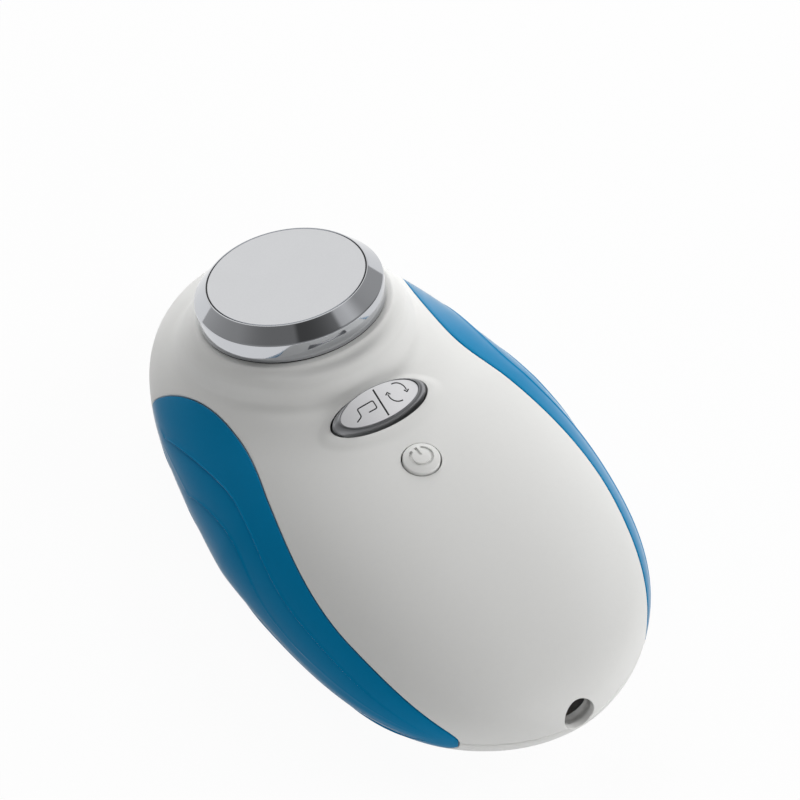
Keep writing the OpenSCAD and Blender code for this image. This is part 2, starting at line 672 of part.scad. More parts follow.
// ---------- mode rocker ----------
module mode_rocker() {
    color([0.45, 0.46, 0.48]) difference() {
        union() {
            rocker_frame() {
                translate([0, 0, -flank_h]) scale([1, (plate_b + flank_b) / (plate_a + flank_w), 1])
                    cylinder(r1 = plate_a + flank_w - flank_step, r2 = plate_a + plate_lip,
                             h = flank_h - 0.1);
                oval(plate_a + flank_w, plate_b + flank_b, stop_d - flank_h + 0.2, -stop_d);
                oval(plate_a + flank_w + stop_x, plate_b + flank_b + stop_y, stop_t, -stop_d - stop_t);
            }
            // web and hub on the pivot pin
            at_parting() translate([-hub_r, pivot_y - web_half, pivot_z])
                cube([2 * hub_r, 2 * web_half, web_top - pivot_z]);
            at_parting() translate([0, pivot_y, pivot_z])
                lengthwise(hub_r, -ear_y + ear_t / 2 + hub_play, ear_y - ear_t / 2 - hub_play);
            // pegs over the two mode switches
            at_parting() for (s = [-1, 1]) translate([s * peg_x, pivot_y, peg_z + peg_r]) {
                cylinder(r = peg_r, h = web_top - peg_z - peg_r);
                sphere(r = peg_r);
            }
        }
        rocker_frame() oval(plate_a + plate_fit, plate_b + plate_fit, cut, -plate_t);
        at_parting() translate([0, pivot_y, pivot_z]) lengthwise(pin_r + pin_run, -cut, cut);
    }
}

module mode_plate() {
    color([0.82, 0.83, 0.84]) rocker_frame() difference() {
        oval(plate_a, plate_b, plate_t, -plate_t);
        translate([-groove_w / 2, -plate_b, -groove_d]) cube([groove_w, 2 * plate_b, cut]);
    }
}

module rocker_pin() {
    reach = ear_y + ear_t / 2 + pin_out;
    color("gray") at_parting() translate([0, pivot_y, pivot_z]) lengthwise(pin_r, -reach, reach);
}

// ---------- power key ----------
module power_button() {
    top = top_z(0, power_y) + power_proud;
    color([0.9, 0.9, 0.89]) at_parting() translate([0, power_y, 0]) {
        intersection() {
            translate([0, 0, key_rim_z]) cylinder(r = power_r, h = top - key_rim_z);
            translate([0, 0, top - key_dome]) sphere(r = key_dome, $fn = 96);
        }
        translate([0, 0, key_rim_z]) cylinder(r = power_r + key_rim, h = key_rim_t);
        translate([0, 0, plunger_z + touch]) cylinder(r = key_stem_r, h = key_rim_z - plunger_z);
    }
}

// ---------- board and what it carries ----------
module control_board() {
    color([0.1, 0.36, 0.2]) at_parting() translate([0, 0, board_low]) difference() {
        union() {
            translate([-board_w / 2, board_back, 0]) cube([board_w, board_front - board_back, board_t]);
            translate([-board_tail_w / 2, board_back - board_tail, 0])
                cube([board_tail_w, board_tail + 1, board_t]);
        }
        mirrored() for (p = board_spots) translate([p[0], p[1], -1])
            cylinder(r = board_screw_r + shank_fit, h = board_t + 2);
    }
}

module screw(r, r_head, h_head, length) {
    translate([0, 0, -h_head]) cylinder(r = r_head, h = h_head);
    translate([0, 0, -h_head / 2]) cylinder(r = r, h = length + h_head / 2);
}

module board_screws() {
    color("silver") at_parting() mirrored() for (p = board_spots) translate([p[0], p[1], board_low])
        screw(board_screw_r, 2 * board_screw_r, 1.2 * board_screw_r, board_t + board_screw_in);
}

module case_screws() {
    color("silver") at_parting() mirrored() for (p = case_spots) translate([p[0], p[1], -screw_seat])
        screw(screw_r, screw_head_r, 0.7 * screw_head_r, screw_seat + screw_in);
}

module switch_body(x, y) {
    color(dark) at_parting() translate([x, y, board_z]) difference() {
        translate([-switch_w / 2, -switch_w / 2, 0]) cube([switch_w, switch_w, switch_h]);
        translate([0, 0, switch_h - plunger_in - plunger_room])
            cylinder(r = plunger_r + plunger_fit, h = plunger_in + plunger_room + 1);
    }
}

module plunger(x, y) {
    color([0.85, 0.85, 0.8]) at_parting() translate([x, y, board_z + switch_h - plunger_in])
        cylinder(r = plunger_r, h = plunger_h + plunger_in);
}

module power_switch() {
    switch_body(0, power_y);
}
module power_plunger() {
    plunger(0, power_y);
}
module mode_switch_left() {
    switch_body(-peg_x, pivot_y);
}
module mode_plunger_left() {
    plunger(-peg_x, pivot_y);
}
module mode_switch_right() {
    switch_body(peg_x, pivot_y);
}
module mode_plunger_right() {
    plunger(peg_x, pivot_y);
}

// ---------- plug socket ----------
module dc_jack() {
    block_y = jack_y + jack_back;
    block_z = inlet_z - jack_low;
    color(dark) at_parting() difference() {
        union() {
            translate([0, 0, inlet_z]) lengthwise(socket_r + socket_wall, jack_y, jack_y + jack_barrel);
            translate([-jack_block[0] / 2, block_y, block_z])
                cube([jack_block[0], jack_block[1], board_low - block_z]);
        }
        translate([0, 0, inlet_z]) lengthwise(socket_r, jack_y - 1, jack_y + jack_block[1]);
    }
}

module jack_contact() {
    color("gold") at_parting() translate([0, 0, inlet_z])
        lengthwise(contact_r, jack_y + contact_in, jack_y + jack_block[1]);
}

// ---------- electronics under and on the board ----------
module transformer_core() {
    color([0.22, 0.22, 0.24]) at_parting() translate([core_at[0], core_at[1], board_low - core_h])
        difference() {
            translate([-2.5 * leg_w, -core_d / 2, 0]) cube([5 * leg_w, core_d, core_h]);
            for (s = [-1, 1]) translate([(s - 0.5) * leg_w, -core_d / 2 - 1, core_yoke])
                cube([leg_w, core_d + 2, core_h - 2 * core_yoke]);
        }
}

module transformer_winding() {
    w = 3 * leg_w - 2 * coil_play;
    h = core_h - 2 * core_yoke - 2 * coil_play;
    color([0.75, 0.5, 0.15]) at_parting()
        translate([core_at[0], core_at[1], board_low - core_h + core_yoke + coil_play]) difference() {
            translate([-w / 2, -core_d / 2 - coil_out, 0]) cube([w, core_d + 2 * coil_out, h]);
            translate([-leg_w / 2, -core_d / 2, -1]) cube([leg_w, core_d, h + 2]);
        }
}

module capacitors() {
    color([0.15, 0.15, 0.4]) at_parting() for (k = [0 : 2])
        translate([cap_x, cap_y - k * (2 * cap_r + cap_gap), board_low - cap_h])
            cylinder(r = cap_r, h = cap_h);
}

module control_chip() {
    pins = floor(chip_l / pin_pitch) - 1;
    color(dark) at_parting() translate([0, chip_y, board_z]) {
        translate([-chip_l / 2, -chip_w / 2, chip_lift]) cube([chip_l, chip_w, chip_h]);
        for (k = [0 : pins]) for (s = [-1, 1])
            translate([(k - pins / 2) * pin_pitch - leg[0] / 2, s * (chip_w / 2 + leg_out) - leg[1] / 2, 0])
                cube(leg);
    }
}

module power_transistor() {
    color(dark) at_parting() translate([transistor_at[0], transistor_at[1], board_low - transistor[2]])
        difference() {
            cube(transistor);
            translate([-1, -1, -1])
                cube([transistor[0] + 2, transistor[1] + 1 - tab_t, 0.5 * transistor[2]]);
        }
}

module heat_sink() {
    color([0.6, 0.62, 0.64]) at_parting() translate([sink_at[0], sink_at[1], board_low - sink[2]]) {
        cube(sink);
        for (x = [0 : fin_pitch : sink[0] - fin_t]) translate([x, sink[1] - fin_in, 0])
            cube([fin_t, fin_out, sink[2]]);
    }
}

module resistors() {
    color([0.7, 0.6, 0.45]) at_parting() for (k = [-1.5 : 1.5])
        translate([k * resistor_pitch, resistor_y, board_z + resistor_r]) rotate([90, 0, 0])
            cylinder(r = resistor_r, h = resistor_l, center = true);
}

upper_shell();
lower_shell();
grip_left();
grip_right();
treatment_head();
head_seal();
head_nut();
piezo_disc();
piezo_leads();
mode_rocker();
mode_plate();
rocker_pin();
power_button();
control_board();
board_screws();
case_screws();
power_switch();
power_plunger();
mode_switch_left();
mode_plunger_left();
mode_switch_right();
mode_plunger_right();
dc_jack();
jack_contact();
transformer_core();
transformer_winding();
capacitors();
control_chip();
power_transistor();
heat_sink();
resistors();
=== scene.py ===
import bpy
import json
import math
import numpy as np
from mathutils import Matrix, Vector

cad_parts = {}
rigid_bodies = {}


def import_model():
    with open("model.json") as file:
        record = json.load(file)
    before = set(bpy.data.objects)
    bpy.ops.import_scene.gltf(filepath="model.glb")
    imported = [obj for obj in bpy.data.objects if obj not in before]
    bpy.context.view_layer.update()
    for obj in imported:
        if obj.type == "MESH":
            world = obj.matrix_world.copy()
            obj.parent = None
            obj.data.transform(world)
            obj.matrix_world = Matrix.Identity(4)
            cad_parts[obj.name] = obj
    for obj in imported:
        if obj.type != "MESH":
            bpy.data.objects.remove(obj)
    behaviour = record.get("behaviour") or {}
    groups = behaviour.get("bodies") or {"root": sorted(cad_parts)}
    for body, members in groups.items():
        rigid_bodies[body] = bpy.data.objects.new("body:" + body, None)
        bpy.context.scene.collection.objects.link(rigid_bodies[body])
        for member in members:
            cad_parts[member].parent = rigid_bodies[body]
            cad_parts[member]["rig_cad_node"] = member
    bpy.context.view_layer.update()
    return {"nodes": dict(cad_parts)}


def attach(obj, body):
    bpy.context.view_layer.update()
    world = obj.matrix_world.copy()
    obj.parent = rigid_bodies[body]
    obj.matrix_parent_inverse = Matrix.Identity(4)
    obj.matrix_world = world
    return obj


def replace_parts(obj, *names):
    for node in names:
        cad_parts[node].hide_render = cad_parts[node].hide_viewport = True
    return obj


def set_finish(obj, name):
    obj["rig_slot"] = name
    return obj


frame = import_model()
mm = 0.001
partHeight = 8.85  # the case's parting line above the floor, mm


# Camera, first of all
view = {"place": (-160.19, -247.71, 412.56), "right": (0.8397, -0.543, 0.0),
        "up": (0.4385, 0.678, 0.59), "back": (-0.3204, -0.4954, 0.8074),
        "lens": 113.4, "sensor": 36, "shift": (0.0169, 0.1018), "clip": (0.01, 20)}


def makeCamera():
    data = bpy.data.cameras.new("camera")
    data.lens, data.sensor_width = view["lens"], view["sensor"]
    data.shift_x, data.shift_y = view["shift"]
    data.clip_start, data.clip_end = view["clip"]
    camera = bpy.data.objects.new("camera", data)
    turn = Matrix([view["right"], view["up"], view["back"]]).transposed().to_4x4()
    camera.matrix_world = Matrix.Translation(Vector(view["place"]) * mm) @ turn
    bpy.context.scene.collection.objects.link(camera)
    bpy.context.scene.camera = camera


makeCamera()
print("camera set")


# Shape of the case: the parting line is at height 0 here, in mm
case = {"length": 132.6, "width": 76.6, "crown": 20.8, "belly": 9.15, "rest": 0.3, "wall": 2.2,
        "taper": 0.08, "full": 0.48, "crownTaper": 0.255, "crownBow": 0.19,
        "outlineBend": (1.56, 1.72), "crownBend": (1.78, 2.11), "bellyBend": (4, 2.5),
        "crownSquare": 2.25, "bellySquare": 3, "edgeRound": 0.5, "lowerRound": 0.45}
neck = {"headY": 36.4, "headZ": 26.85, "tilt": 15.9, "landDepth": 7.1, "radius": 20.2,
        "reach": 42.4, "sideReach": 33, "bend": 2.4, "bore": 15.12, "flange": 3, "edge": 0.4,
        "flangeOut": 17.6, "landOut": 19.2, "chamfer": 0.2,
        "collar": (24.2, 28.5), "shoulder": 0.25, "collarRise": 0.55, "collarFall": (0.62, 0.38),
        "collarFade": 4, "valley": 0.65, "valleyWidth": 1.9, "valleyOut": 0.4}
grip = {"front": 41.1, "back": -57.7, "edgeRise": 51, "riseBack": 32, "drop": 40, "gap": 0.2,
        "fall": (0.265, 0.5), "bend": (4.3, 0.53), "stepBend": (2, 0.6), "stepHeight": 0.36,
        "steps": ((7.2, 3, 38.2, 22, (0.284, 0.354)), (22.5, 26.9, 23.7, 7.8, (0.331, 0.41))),
        "stepSpread": (-3, -1.5, 0, 1.5, 3), "riser": 0.5, "bead": 0.13, "foot": 0.06, "footEnd": 1.5,
        "fade": 18, "edgeRound": 0.22, "leastEdge": 0.4, "lip": 2, "lipThick": 1.2, "play": 0.4,
        "tipPlay": 0.2, "tipBend": 40, "sections": 300}
rocker = {"y": 2.0, "z": 22.8, "tilt": 18, "plate": (8.65, 3.4), "flank": (1.7, 1.15),
          "farFlank": 0.3, "plateShift": 0.3, "flankDrop": 1.45, "ledge": 0.2, "lip": 0.16,
          "gap": 0.25, "endRoom": 0.15, "lipRound": 0.12, "out": 3, "deep": 6, "points": 144,
          "flange": (0.5, 0.6, 0.3), "flangeLow": (-6.6, -6), "flangeTop": -5.9,
          "pad": 0.36, "padFlat": 0.8, "padEnd": 3.4}
powerKey = {"y": -12.2, "radius": 3.62, "gap": 0.3, "lipRound": 0.08, "proud": 0.88, "dome": 12,
            "edge": 0.3, "flange": (1.1, 0.8), "below": 1.6, "stem": 1.6, "stemEnd": 14.35,
            "out": 3, "deep": 6, "searchZ": 22, "points": 96}
inlet = {"z": 2.3, "radius": 3.25, "lipRound": 0.25, "collar": 1, "end": -63, "lap": 1.2,
         "out": 5, "deep": 8, "search": -50.0, "points": 96}
probe = {"end": 0.3, "along": 0.2, "around": 0.8}  # steps, in mm and degrees, that find a normal
halfLength = case["length"] / 2
tilt = math.radians(neck["tilt"])
neckY = neck["headY"] - neck["landDepth"] * math.sin(tilt)
neckZ = neck["headZ"] - neck["landDepth"] * math.cos(tilt)


def power(base, exponent):
    return np.where(base > 0, np.power(np.maximum(base, 1e-12), exponent), 0.0)


def halfWidth(y):
    s = np.clip(y / halfLength, -1, 1)
    p, q = case["outlineBend"]
    fullness = 1 - case["taper"] * s + case["full"] * s * s
    return case["width"] / 2 * fullness * power(1 - np.abs(s) ** p, 1 / q)


def crownHeight(y):
    s = np.clip(y / halfLength, -1, 1)
    p, q = case["crownBend"]
    lean = 1 - case["crownTaper"] * s - case["crownBow"] * s * s
    return case["crown"] * lean * power(1 - np.abs(s) ** p, 1 / q)


def bellyDepth(y):
    p, q = case["bellyBend"]
    return case["belly"] * power(1 - np.abs(np.clip(y / halfLength, -1, 1)) ** p, 1 / q)


def rounded(share, square):
    return power(1 - np.minimum(1, np.abs(share)) ** square, 1 / square)


def eased(u):
    v = np.clip(u, 0, 1)
    return v * v * (3 - 2 * v)


def acrossShare(x, y):
    return x / np.maximum(halfWidth(y), 1e-6)


def rockerOpening():  # half length and half widths of the rocker's opening, near and far
    (a, b), (fa, fb), gap = rocker["plate"], rocker["flank"], rocker["gap"]
    far = b + rocker["plateShift"] + rocker["farFlank"] + gap
    return a + fa + gap + rocker["endRoom"], b + fb + gap, far


def fromRocker(x, y):  # distance outside the rocker's opening, in plan
    a, near, far = rockerOpening()
    yy = (y - rocker["y"]) / math.cos(math.radians(rocker["tilt"]))
    b = np.where(yy > 0, far, near)
    size = np.hypot(x, yy)
    return size * (1 - 1 / np.maximum(np.hypot(x / a, yy / b), 1e-6))


# The neck's foot is a collar with a full shoulder and a soft valley round it
def collarRise(away, behind):
    side, rear = neck["collar"]
    end = side + (rear - side) * behind ** 3
    wide = end - neck["radius"]
    u = (away - neck["radius"]) / wide
    fall, fallWidth = neck["collarFall"]
    shoulder = neck["shoulder"] * wide * eased(u / neck["collarRise"])
    shoulder = shoulder * (1 - eased((u - fall) / fallWidth))
    return shoulder - neck["valley"] * np.exp(-((away - end - neck["valleyOut"]) / neck["valleyWidth"]) ** 2)


def topZ(x, y, pad=True):
    egg = crownHeight(y) * rounded(acrossShare(x, y), case["crownSquare"])
    back = (neckY - y) / math.cos(tilt)
    away = np.hypot(x, back)
    behind = np.maximum(back, 0) / np.maximum(away, 0.001)  # the flare runs out further towards the tail
    reach = neck["sideReach"] + (neck["reach"] - neck["sideReach"]) * behind ** 2
    flare = np.clip((reach - away) / (reach - neck["radius"]), 0, 1) ** neck["bend"]
    plane = neckZ - math.tan(tilt) * (y - neckY)
    top = np.where(egg > 0, np.maximum(egg, 1e-9) ** (1 - flare) * plane ** flare, 0)
    top = top + collarRise(away, behind) * np.minimum(1, egg / neck["collarFade"])
    if pad:
        d = fromRocker(x, y)
        fall = (d - rocker["padFlat"]) / (rocker["padEnd"] - rocker["padFlat"])
        top = top + rocker["pad"] * (1 - eased(fall)) * np.minimum(1, egg)
    return top


def bellyZ(x, y):
    return -bellyDepth(y) * rounded(acrossShare(x, y), case["bellySquare"])


def skinPoint(y, angle):  # angle round the section in degrees, negative below the parting line
    turn = np.cos(np.radians(angle))
    upX = halfWidth(y) * power(turn, 2 / case["crownSquare"])
    downX = halfWidth(y) * power(turn, 2 / case["bellySquare"])
    x = np.where(angle >= 0, upX, downX)
    z = np.where(angle >= 0, topZ(upX, y, False), bellyZ(downX, y))
    return np.stack([x, y + 0 * x, z], -1)


def unit(v):
    return v / np.maximum(np.linalg.norm(v, axis=-1, keepdims=True), 1e-12)


def skinNormal(y, angle):
    end, step, turn = probe["end"], probe["along"], probe["around"]
    y = np.clip(y, -halfLength + end, halfLength - end)
    alongY = skinPoint(y + step, angle) - skinPoint(y - step, angle)
    around = skinPoint(y, angle + turn) - skinPoint(y, angle - turn)
    return unit(np.cross(alongY, around))


def crest(y, front, back, rise, riseBack, fall, bend):
    t = (y - front) / (back - front)
    leaf = power(1 - np.abs(2 * t - 1) ** bend[0], bend[1])
    height = riseBack + (rise - riseBack) * (1 - eased((t - fall[0]) / fall[1]))
    return np.where((t <= 0) | (t >= 1), 0, leaf * height)


def gripEdge(y, rise, riseBack):
    return crest(y, grip["front"], grip["back"], rise, riseBack, grip["fall"], grip["bend"])


def edgeUp(y):
    return gripEdge(y, grip["edgeRise"], grip["riseBack"])


def edgeDown(y):
    return gripEdge(y, grip["drop"], grip["drop"])


def stepUp(y, k):  # averaged over a few millimetres, so that the line has no kink
    ahead, behind, rise, riseBack, fall = grip["steps"][k]
    front, back = grip["front"] - ahead, grip["back"] + behind
    heights = [crest(y + d, front, back, rise, riseBack, fall, grip["stepBend"])
               for d in grip["stepSpread"]]
    return sum(heights) / len(heights)


# Mesh helpers
def toScene(points):
    return (np.asarray(points) + (0, 0, partHeight)) * mm


def facingOut(points, faces):  # faces turned so that the closed shape has its outside out
    p = np.asarray(points, float)
    volume = 0.0
    for size in {len(f) for f in faces}:
        same = np.array([f for f in faces if len(f) == size])
        a = p[same[:, 0]]
        for k in range(1, size - 1):
            volume += (a * np.cross(p[same[:, k]], p[same[:, k + 1]])).sum()
    return [f[::-1] for f in faces] if volume < 0 else faces


def newPiece(name, points, faces, body=None, slotName=None, sharp=34):
    faces = facingOut(points, faces)
    mesh = bpy.data.meshes.new(name)
    mesh.from_pydata([tuple(p) for p in toScene(points)], [], [tuple(f) for f in faces])
    mesh.validate()
    piece = bpy.data.objects.new(name, mesh)
    bpy.context.scene.collection.objects.link(piece)
    mesh.shade_smooth()
    mesh.set_sharp_from_angle(angle=math.radians(sharp))
    if body:
        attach(piece, body)
        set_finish(piece, slotName)
    return piece


def gridFaces(rows, columns, wrapRows=True, wrapColumns=True):
    faces = []
    for i in range(rows if wrapRows else rows - 1):
        k = (i + 1) % rows
        for j in range(columns if wrapColumns else columns - 1):
            m = (j + 1) % columns
            faces.append((i * columns + j, k * columns + j, k * columns + m, i * columns + m))
    return faces


def cappedFaces(layers, count):  # a stack of rings, closed by a hub point at each end
    faces, low, last = gridFaces(layers, count, False, True), layers * count, (layers - 1) * count
    for i in range(count):
        k = (i + 1) % count
        faces.append((low, i, k))
        faces.append((low + 1, last + k, last + i))
    return faces


def lengthAlong(path):
    return np.concatenate([[0], np.cumsum(np.linalg.norm(np.diff(path, axis=0), axis=1))])


def lathe(profile, count):  # profile of (radius, height), round the z axis
    angles = np.linspace(0, 2 * math.pi, count, endpoint=False)
    points = []
    ends = [k for k, p in enumerate(profile) if p[0] < 1e-6]
    ring = [k for k in range(len(profile)) if k not in ends]
    for a in angles:
        for radius, height in (profile[k] for k in ring):
            points.append((radius * math.cos(a), radius * math.sin(a), height))
    faces = gridFaces(count, len(ring), True, not ends)
    for k in ends:
        points.append((0, 0, profile[k][1]))
        side = 0 if k == 0 else len(ring) - 1
        hub = len(points) - 1
        for i in range(count):
            pair = (i * len(ring) + side, (i + 1) % count * len(ring) + side)
            faces.append((hub, pair[1], pair[0]) if k == 0 else (hub, pair[0], pair[1]))
    return np.array(points), faces


def arc(centre, radius, first, last, steps):
    turns = np.radians(np.linspace(first, last, steps))
    return [(centre[0] + radius * math.cos(t), centre[1] + radius * math.sin(t)) for t in turns]


def tilted(points, y, z, degrees):  # from a tilted frame at height z over the parting line
    turn = np.array(Matrix.Rotation(math.radians(degrees), 3, "X"))
    return np.asarray(points) @ turn.T + (0, y, z)


def combine(piece, operation, others):
    before = len(piece.data.polygons)
    for other in others:
        step = piece.modifiers.new("combine", "BOOLEAN")
        step.operation, step.solver, step.object = operation, "MANIFOLD", other
        bpy.context.view_layer.update()
        made = piece.evaluated_get(bpy.context.evaluated_depsgraph_get())
        mesh = bpy.data.meshes.new_from_object(made)
        piece.modifiers.clear()
        if len(mesh.polygons) == before:
            raise RuntimeError(f"{other.name} changed nothing on {piece.name}")
        piece.data, before = mesh, len(mesh.polygons)
        bpy.data.objects.remove(other)
    return piece


def cut(piece, *cutters):
    return combine(piece, "DIFFERENCE", cutters)


def join(piece, *others):
    return combine(piece, "UNION", others)


def smoothAgain(piece, sharp=34):
    piece.data.shade_smooth()
    piece.data.set_sharp_from_angle(angle=math.radians(sharp))


shells = {"around": 230, "upRows": 120, "lowRows": 60, "path": 900, "fine": 700, "crowd": 1.35,
          "rim": [0, 0.012, 0.035, 0.07, 0.11, 0.16, 0.22, 0.32, 0.5, 0.8], "hub": (0, -4.0),
          "neckRim": (0.15, 0.3), "neckSkin": (0.7, 1.1), "swing": (0.45, 90, 50), "parting": 0.01}
rimRows = shells["rim"]


# Rim of each half of the case, from the nose round the left side to the tail
def rimCurve(edge, sign, count):
    front, back = grip["front"], grip["back"]
    k = np.linspace(0, 1, shells["path"])
    ys = np.concatenate([front + (halfLength - front) * (1 - k ** 2),
                         (front + (back - front) * (1 - np.cos(math.pi * k)) / 2)[1:],
                         (-halfLength + (back + halfLength) * (1 - k) ** 2)[1:]])
    path = skinPoint(ys, sign * edge(ys))
    along = lengthAlong(path)
    wanted = np.interp(np.linspace(0, along[-1], count + 1), along, ys)
    for tip in (front, back):  # the grips' pointed ends keep a point of their own
        wanted[np.argmin(np.abs(wanted - tip))] = tip
    wanted[0], wanted[-1] = halfLength, -halfLength
    left = skinPoint(wanted, sign * edge(wanted)) * (-1, 1, 1)
    return np.concatenate([left, left[-2:0:-1] * (-1, 1, 1)])


def spacedLine(points, starts, ends, count, crowd=1):  # rows at given lengths from both ends
    out = []
    for line in points:
        along = lengthAlong(line)
        total = along[-1]
        share = np.linspace(0, 1, count + 2)[1:-1] ** crowd
        middle = starts[-1] + (total - ends[-1] - starts[-1]) * share
        rows = np.concatenate([starts, middle, total - np.array(ends[::-1])])
        out.append(np.stack([np.interp(rows, along, line[:, k]) for k in range(3)], -1))
    return np.array(out)


def gridNormals(grid, sign):
    around = np.roll(grid, -1, 0) - np.roll(grid, 1, 0)
    down = np.gradient(grid, axis=1)
    return sign * unit(np.cross(around, down))


def roundInset(distance, radius):
    short = np.maximum(radius - distance, 0)
    return radius - np.sqrt(np.maximum(radius ** 2 - short ** 2, 0))


def rimNormals(grid, sign):  # the case is upright at the parting line
    normals = gridNormals(grid, sign)
    onParting = np.abs(grid[:, -1, 2]) < shells["parting"]
    for j in range(-len(rimRows), 0):
        normals[onParting, j, 2] *= np.clip(rimRows[-j - 1] / rimRows[-1], 0, 1)
    return unit(normals)


def rimRounded(grid, normals, radius):
    skin, inset = grid.copy(), roundInset(np.array(rimRows[::-1]), radius)
    skin[:, -len(rimRows):] -= normals[:, -len(rimRows):] * inset[None, :, None]
    return skin


def upperShell():
    count = shells["around"]
    rim = rimCurve(edgeUp, 1, count)
    side = np.where(np.arange(len(rim)) <= count, -1, 1)
    turn = np.degrees(np.arctan2(np.abs(rim[:, 0]), rim[:, 1] - neckY))
    swing, first, spread = shells["swing"]
    turn = np.radians(turn + swing * (180 - turn) * eased((turn - first) / spread))
    start = np.stack([side * neck["radius"] * np.sin(turn),
                      neckY + neck["radius"] * np.cos(turn) * math.cos(tilt)], -1)
    f = (1 - np.cos(math.pi * np.linspace(0, 1, shells["fine"]))) / 2
    plan = start[:, None, :] + (rim[:, None, :2] - start[:, None, :]) * f[None, :, None]
    z = topZ(plan[..., 0], plan[..., 1])
    lines = np.concatenate([plan, z[..., None]], -1)
    lines[:, -1] = rim
    starts = [0, *shells["neckRim"], neck["edge"], *shells["neckSkin"]]
    grid = spacedLine(lines, starts, rimRows, shells["upRows"], shells["crowd"])
    normals = rimNormals(grid, -1)
    skin = rimRounded(grid, normals, case["edgeRound"])
    inner = (grid - case["wall"] * normals)[:, 8::3]
    rimInner = grid[:, -1:] - case["wall"] * normals[:, -1:]
    away = np.stack([side * np.sin(turn), np.cos(turn) * math.cos(tilt),
                     -np.cos(turn) * math.sin(tilt)], -1)
    axis = np.array([0, math.sin(tilt), math.cos(tilt)])
    centre = np.array([0, neckY, neckZ])
    ledge = [centre + away * r - axis * d for r, d in
             ((neck["flangeOut"], neck["flange"]), (neck["bore"], neck["flange"]),
              (neck["bore"], neck["chamfer"]), (neck["bore"] + neck["chamfer"], 0),
              (neck["landOut"], 0), (neck["radius"] - neck["edge"], 0))]
    corner, before, after = grid[:, 0], ledge[-1], grid[:, 3]
    bend = [before * (1 - t) ** 2 + corner * 2 * t * (1 - t) + after * t * t
            for t in (0.25, 0.5, 0.75)]
    skin = np.concatenate([np.stack(ledge + bend, 1), skin[:, 3:], rimInner, inner[:, ::-1]], 1)
    return skin.reshape(-1, 3), gridFaces(len(rim), skin.shape[1])


def lowerShell():
    rim = rimCurve(edgeDown, -1, shells["around"])
    hub = np.array(shells["hub"])
    f = np.sin(math.pi / 2 * np.linspace(0, 1, shells["fine"]))[1:]
    plan = hub + (rim[:, None, :2] - hub) * f[None, :, None]
    lines = np.concatenate([plan, bellyZ(plan[..., 0], plan[..., 1])[..., None]], -1)
    lines[:, -1] = rim
    grid = spacedLine(lines, [0], rimRows, shells["lowRows"])
    normals = rimNormals(grid, 1)
    skin = rimRounded(grid, normals, case["lowerRound"])
    skin[..., 2] = np.maximum(skin[..., 2], case["rest"] - case["belly"])
    inner = (grid - case["wall"] * normals)[:, ::3]
    rimInner = grid[:, -1:] - case["wall"] * normals[:, -1:]
    both = np.concatenate([skin, rimInner, inner[:, ::-1]], 1)
    points = both.reshape(-1, 3)
    faces = gridFaces(len(rim), both.shape[1], True, False)
    n, m = len(rim), both.shape[1]
    low = len(points)
    points = np.concatenate([points, [(0, hub[1], case["rest"] - case["belly"]),
                                      (0, hub[1], case["wall"] - case["belly"])]])
    for i in range(n):
        k = (i + 1) % n
        faces.append((low, k * m, i * m))
        faces.append((low + 1, i * m + m - 1, k * m + m - 1))
    return points, faces


cutting = {"flare": 0.8, "lipSteps": 9, "search": 8.0, "halvings": 40}
screws = {"places": ((21.5, -33), (17.3, 21)), "radius": 2.9, "out": 3, "deep": 3.2,
          "lipRound": 0.2, "points": 64}


# Cutters for the openings, each with a rounded lip where it leaves the skin
def lipCutter(name, ring, direction, values):
    # ring: points where the wall meets the skin; direction: unit vector out of the case
    hit, deep, radius, out = values["out"], values["deep"], values["lipRound"], cutting["flare"]
    middle = ring.mean(0)
    grow = ring - middle
    grow = unit(grow - (grow @ direction)[:, None] * direction)
    layers = [ring - direction * deep]
    for t in np.linspace(0, math.pi / 2, cutting["lipSteps"]):
        spread = radius * (1 - math.cos(t))
        layers.append(ring + grow * spread - direction * radius * (1 - math.sin(t)))
    layers.append(ring + grow * (radius + out * 0.6) + direction * out * 0.35)
    layers.append(ring + grow * (radius + out * 0.6) + direction * hit)
    points = np.concatenate(layers + [[middle - direction * deep], [middle + direction * hit]])
    return newPiece(name, points, cappedFaces(len(layers), len(ring)))


def onSkin(points, direction):  # slides points along a direction until they meet it
    low, high = np.full(len(points), -cutting["search"]), np.full(len(points), cutting["search"])
    for _ in range(cutting["halvings"]):
        mid = (low + high) / 2
        p = points + direction * mid[:, None]
        above = p[:, 2] > topZ(p[:, 0], p[:, 1])
        high, low = np.where(above, mid, high), np.where(above, low, mid)
    return points + direction * ((low + high) / 2)[:, None]


def ovalRing(a, b, count, far=None):
    t = np.linspace(0, 2 * math.pi, count, endpoint=False)
    wide = np.where(np.sin(t) > 0, far or b, b)
    return np.stack([a * np.cos(t), wide * np.sin(t), 0 * t], -1)


def rockerCutter():
    a, near, far = rockerOpening()
    ring = tilted(ovalRing(a, near, rocker["points"], far), rocker["y"], rocker["z"], rocker["tilt"])
    lean = math.radians(rocker["tilt"])
    out = np.array([0, -math.sin(lean), math.cos(lean)])
    return lipCutter("rockerCutter", onSkin(ring, out), out, rocker)


def powerCutter():
    size = powerKey["radius"] + powerKey["gap"]
    ring = ovalRing(size, size, powerKey["points"]) + (0, powerKey["y"], powerKey["searchZ"])
    out = np.array([0, 0, 1.0])
    return lipCutter("powerCutter", onSkin(ring, out), out, powerKey)


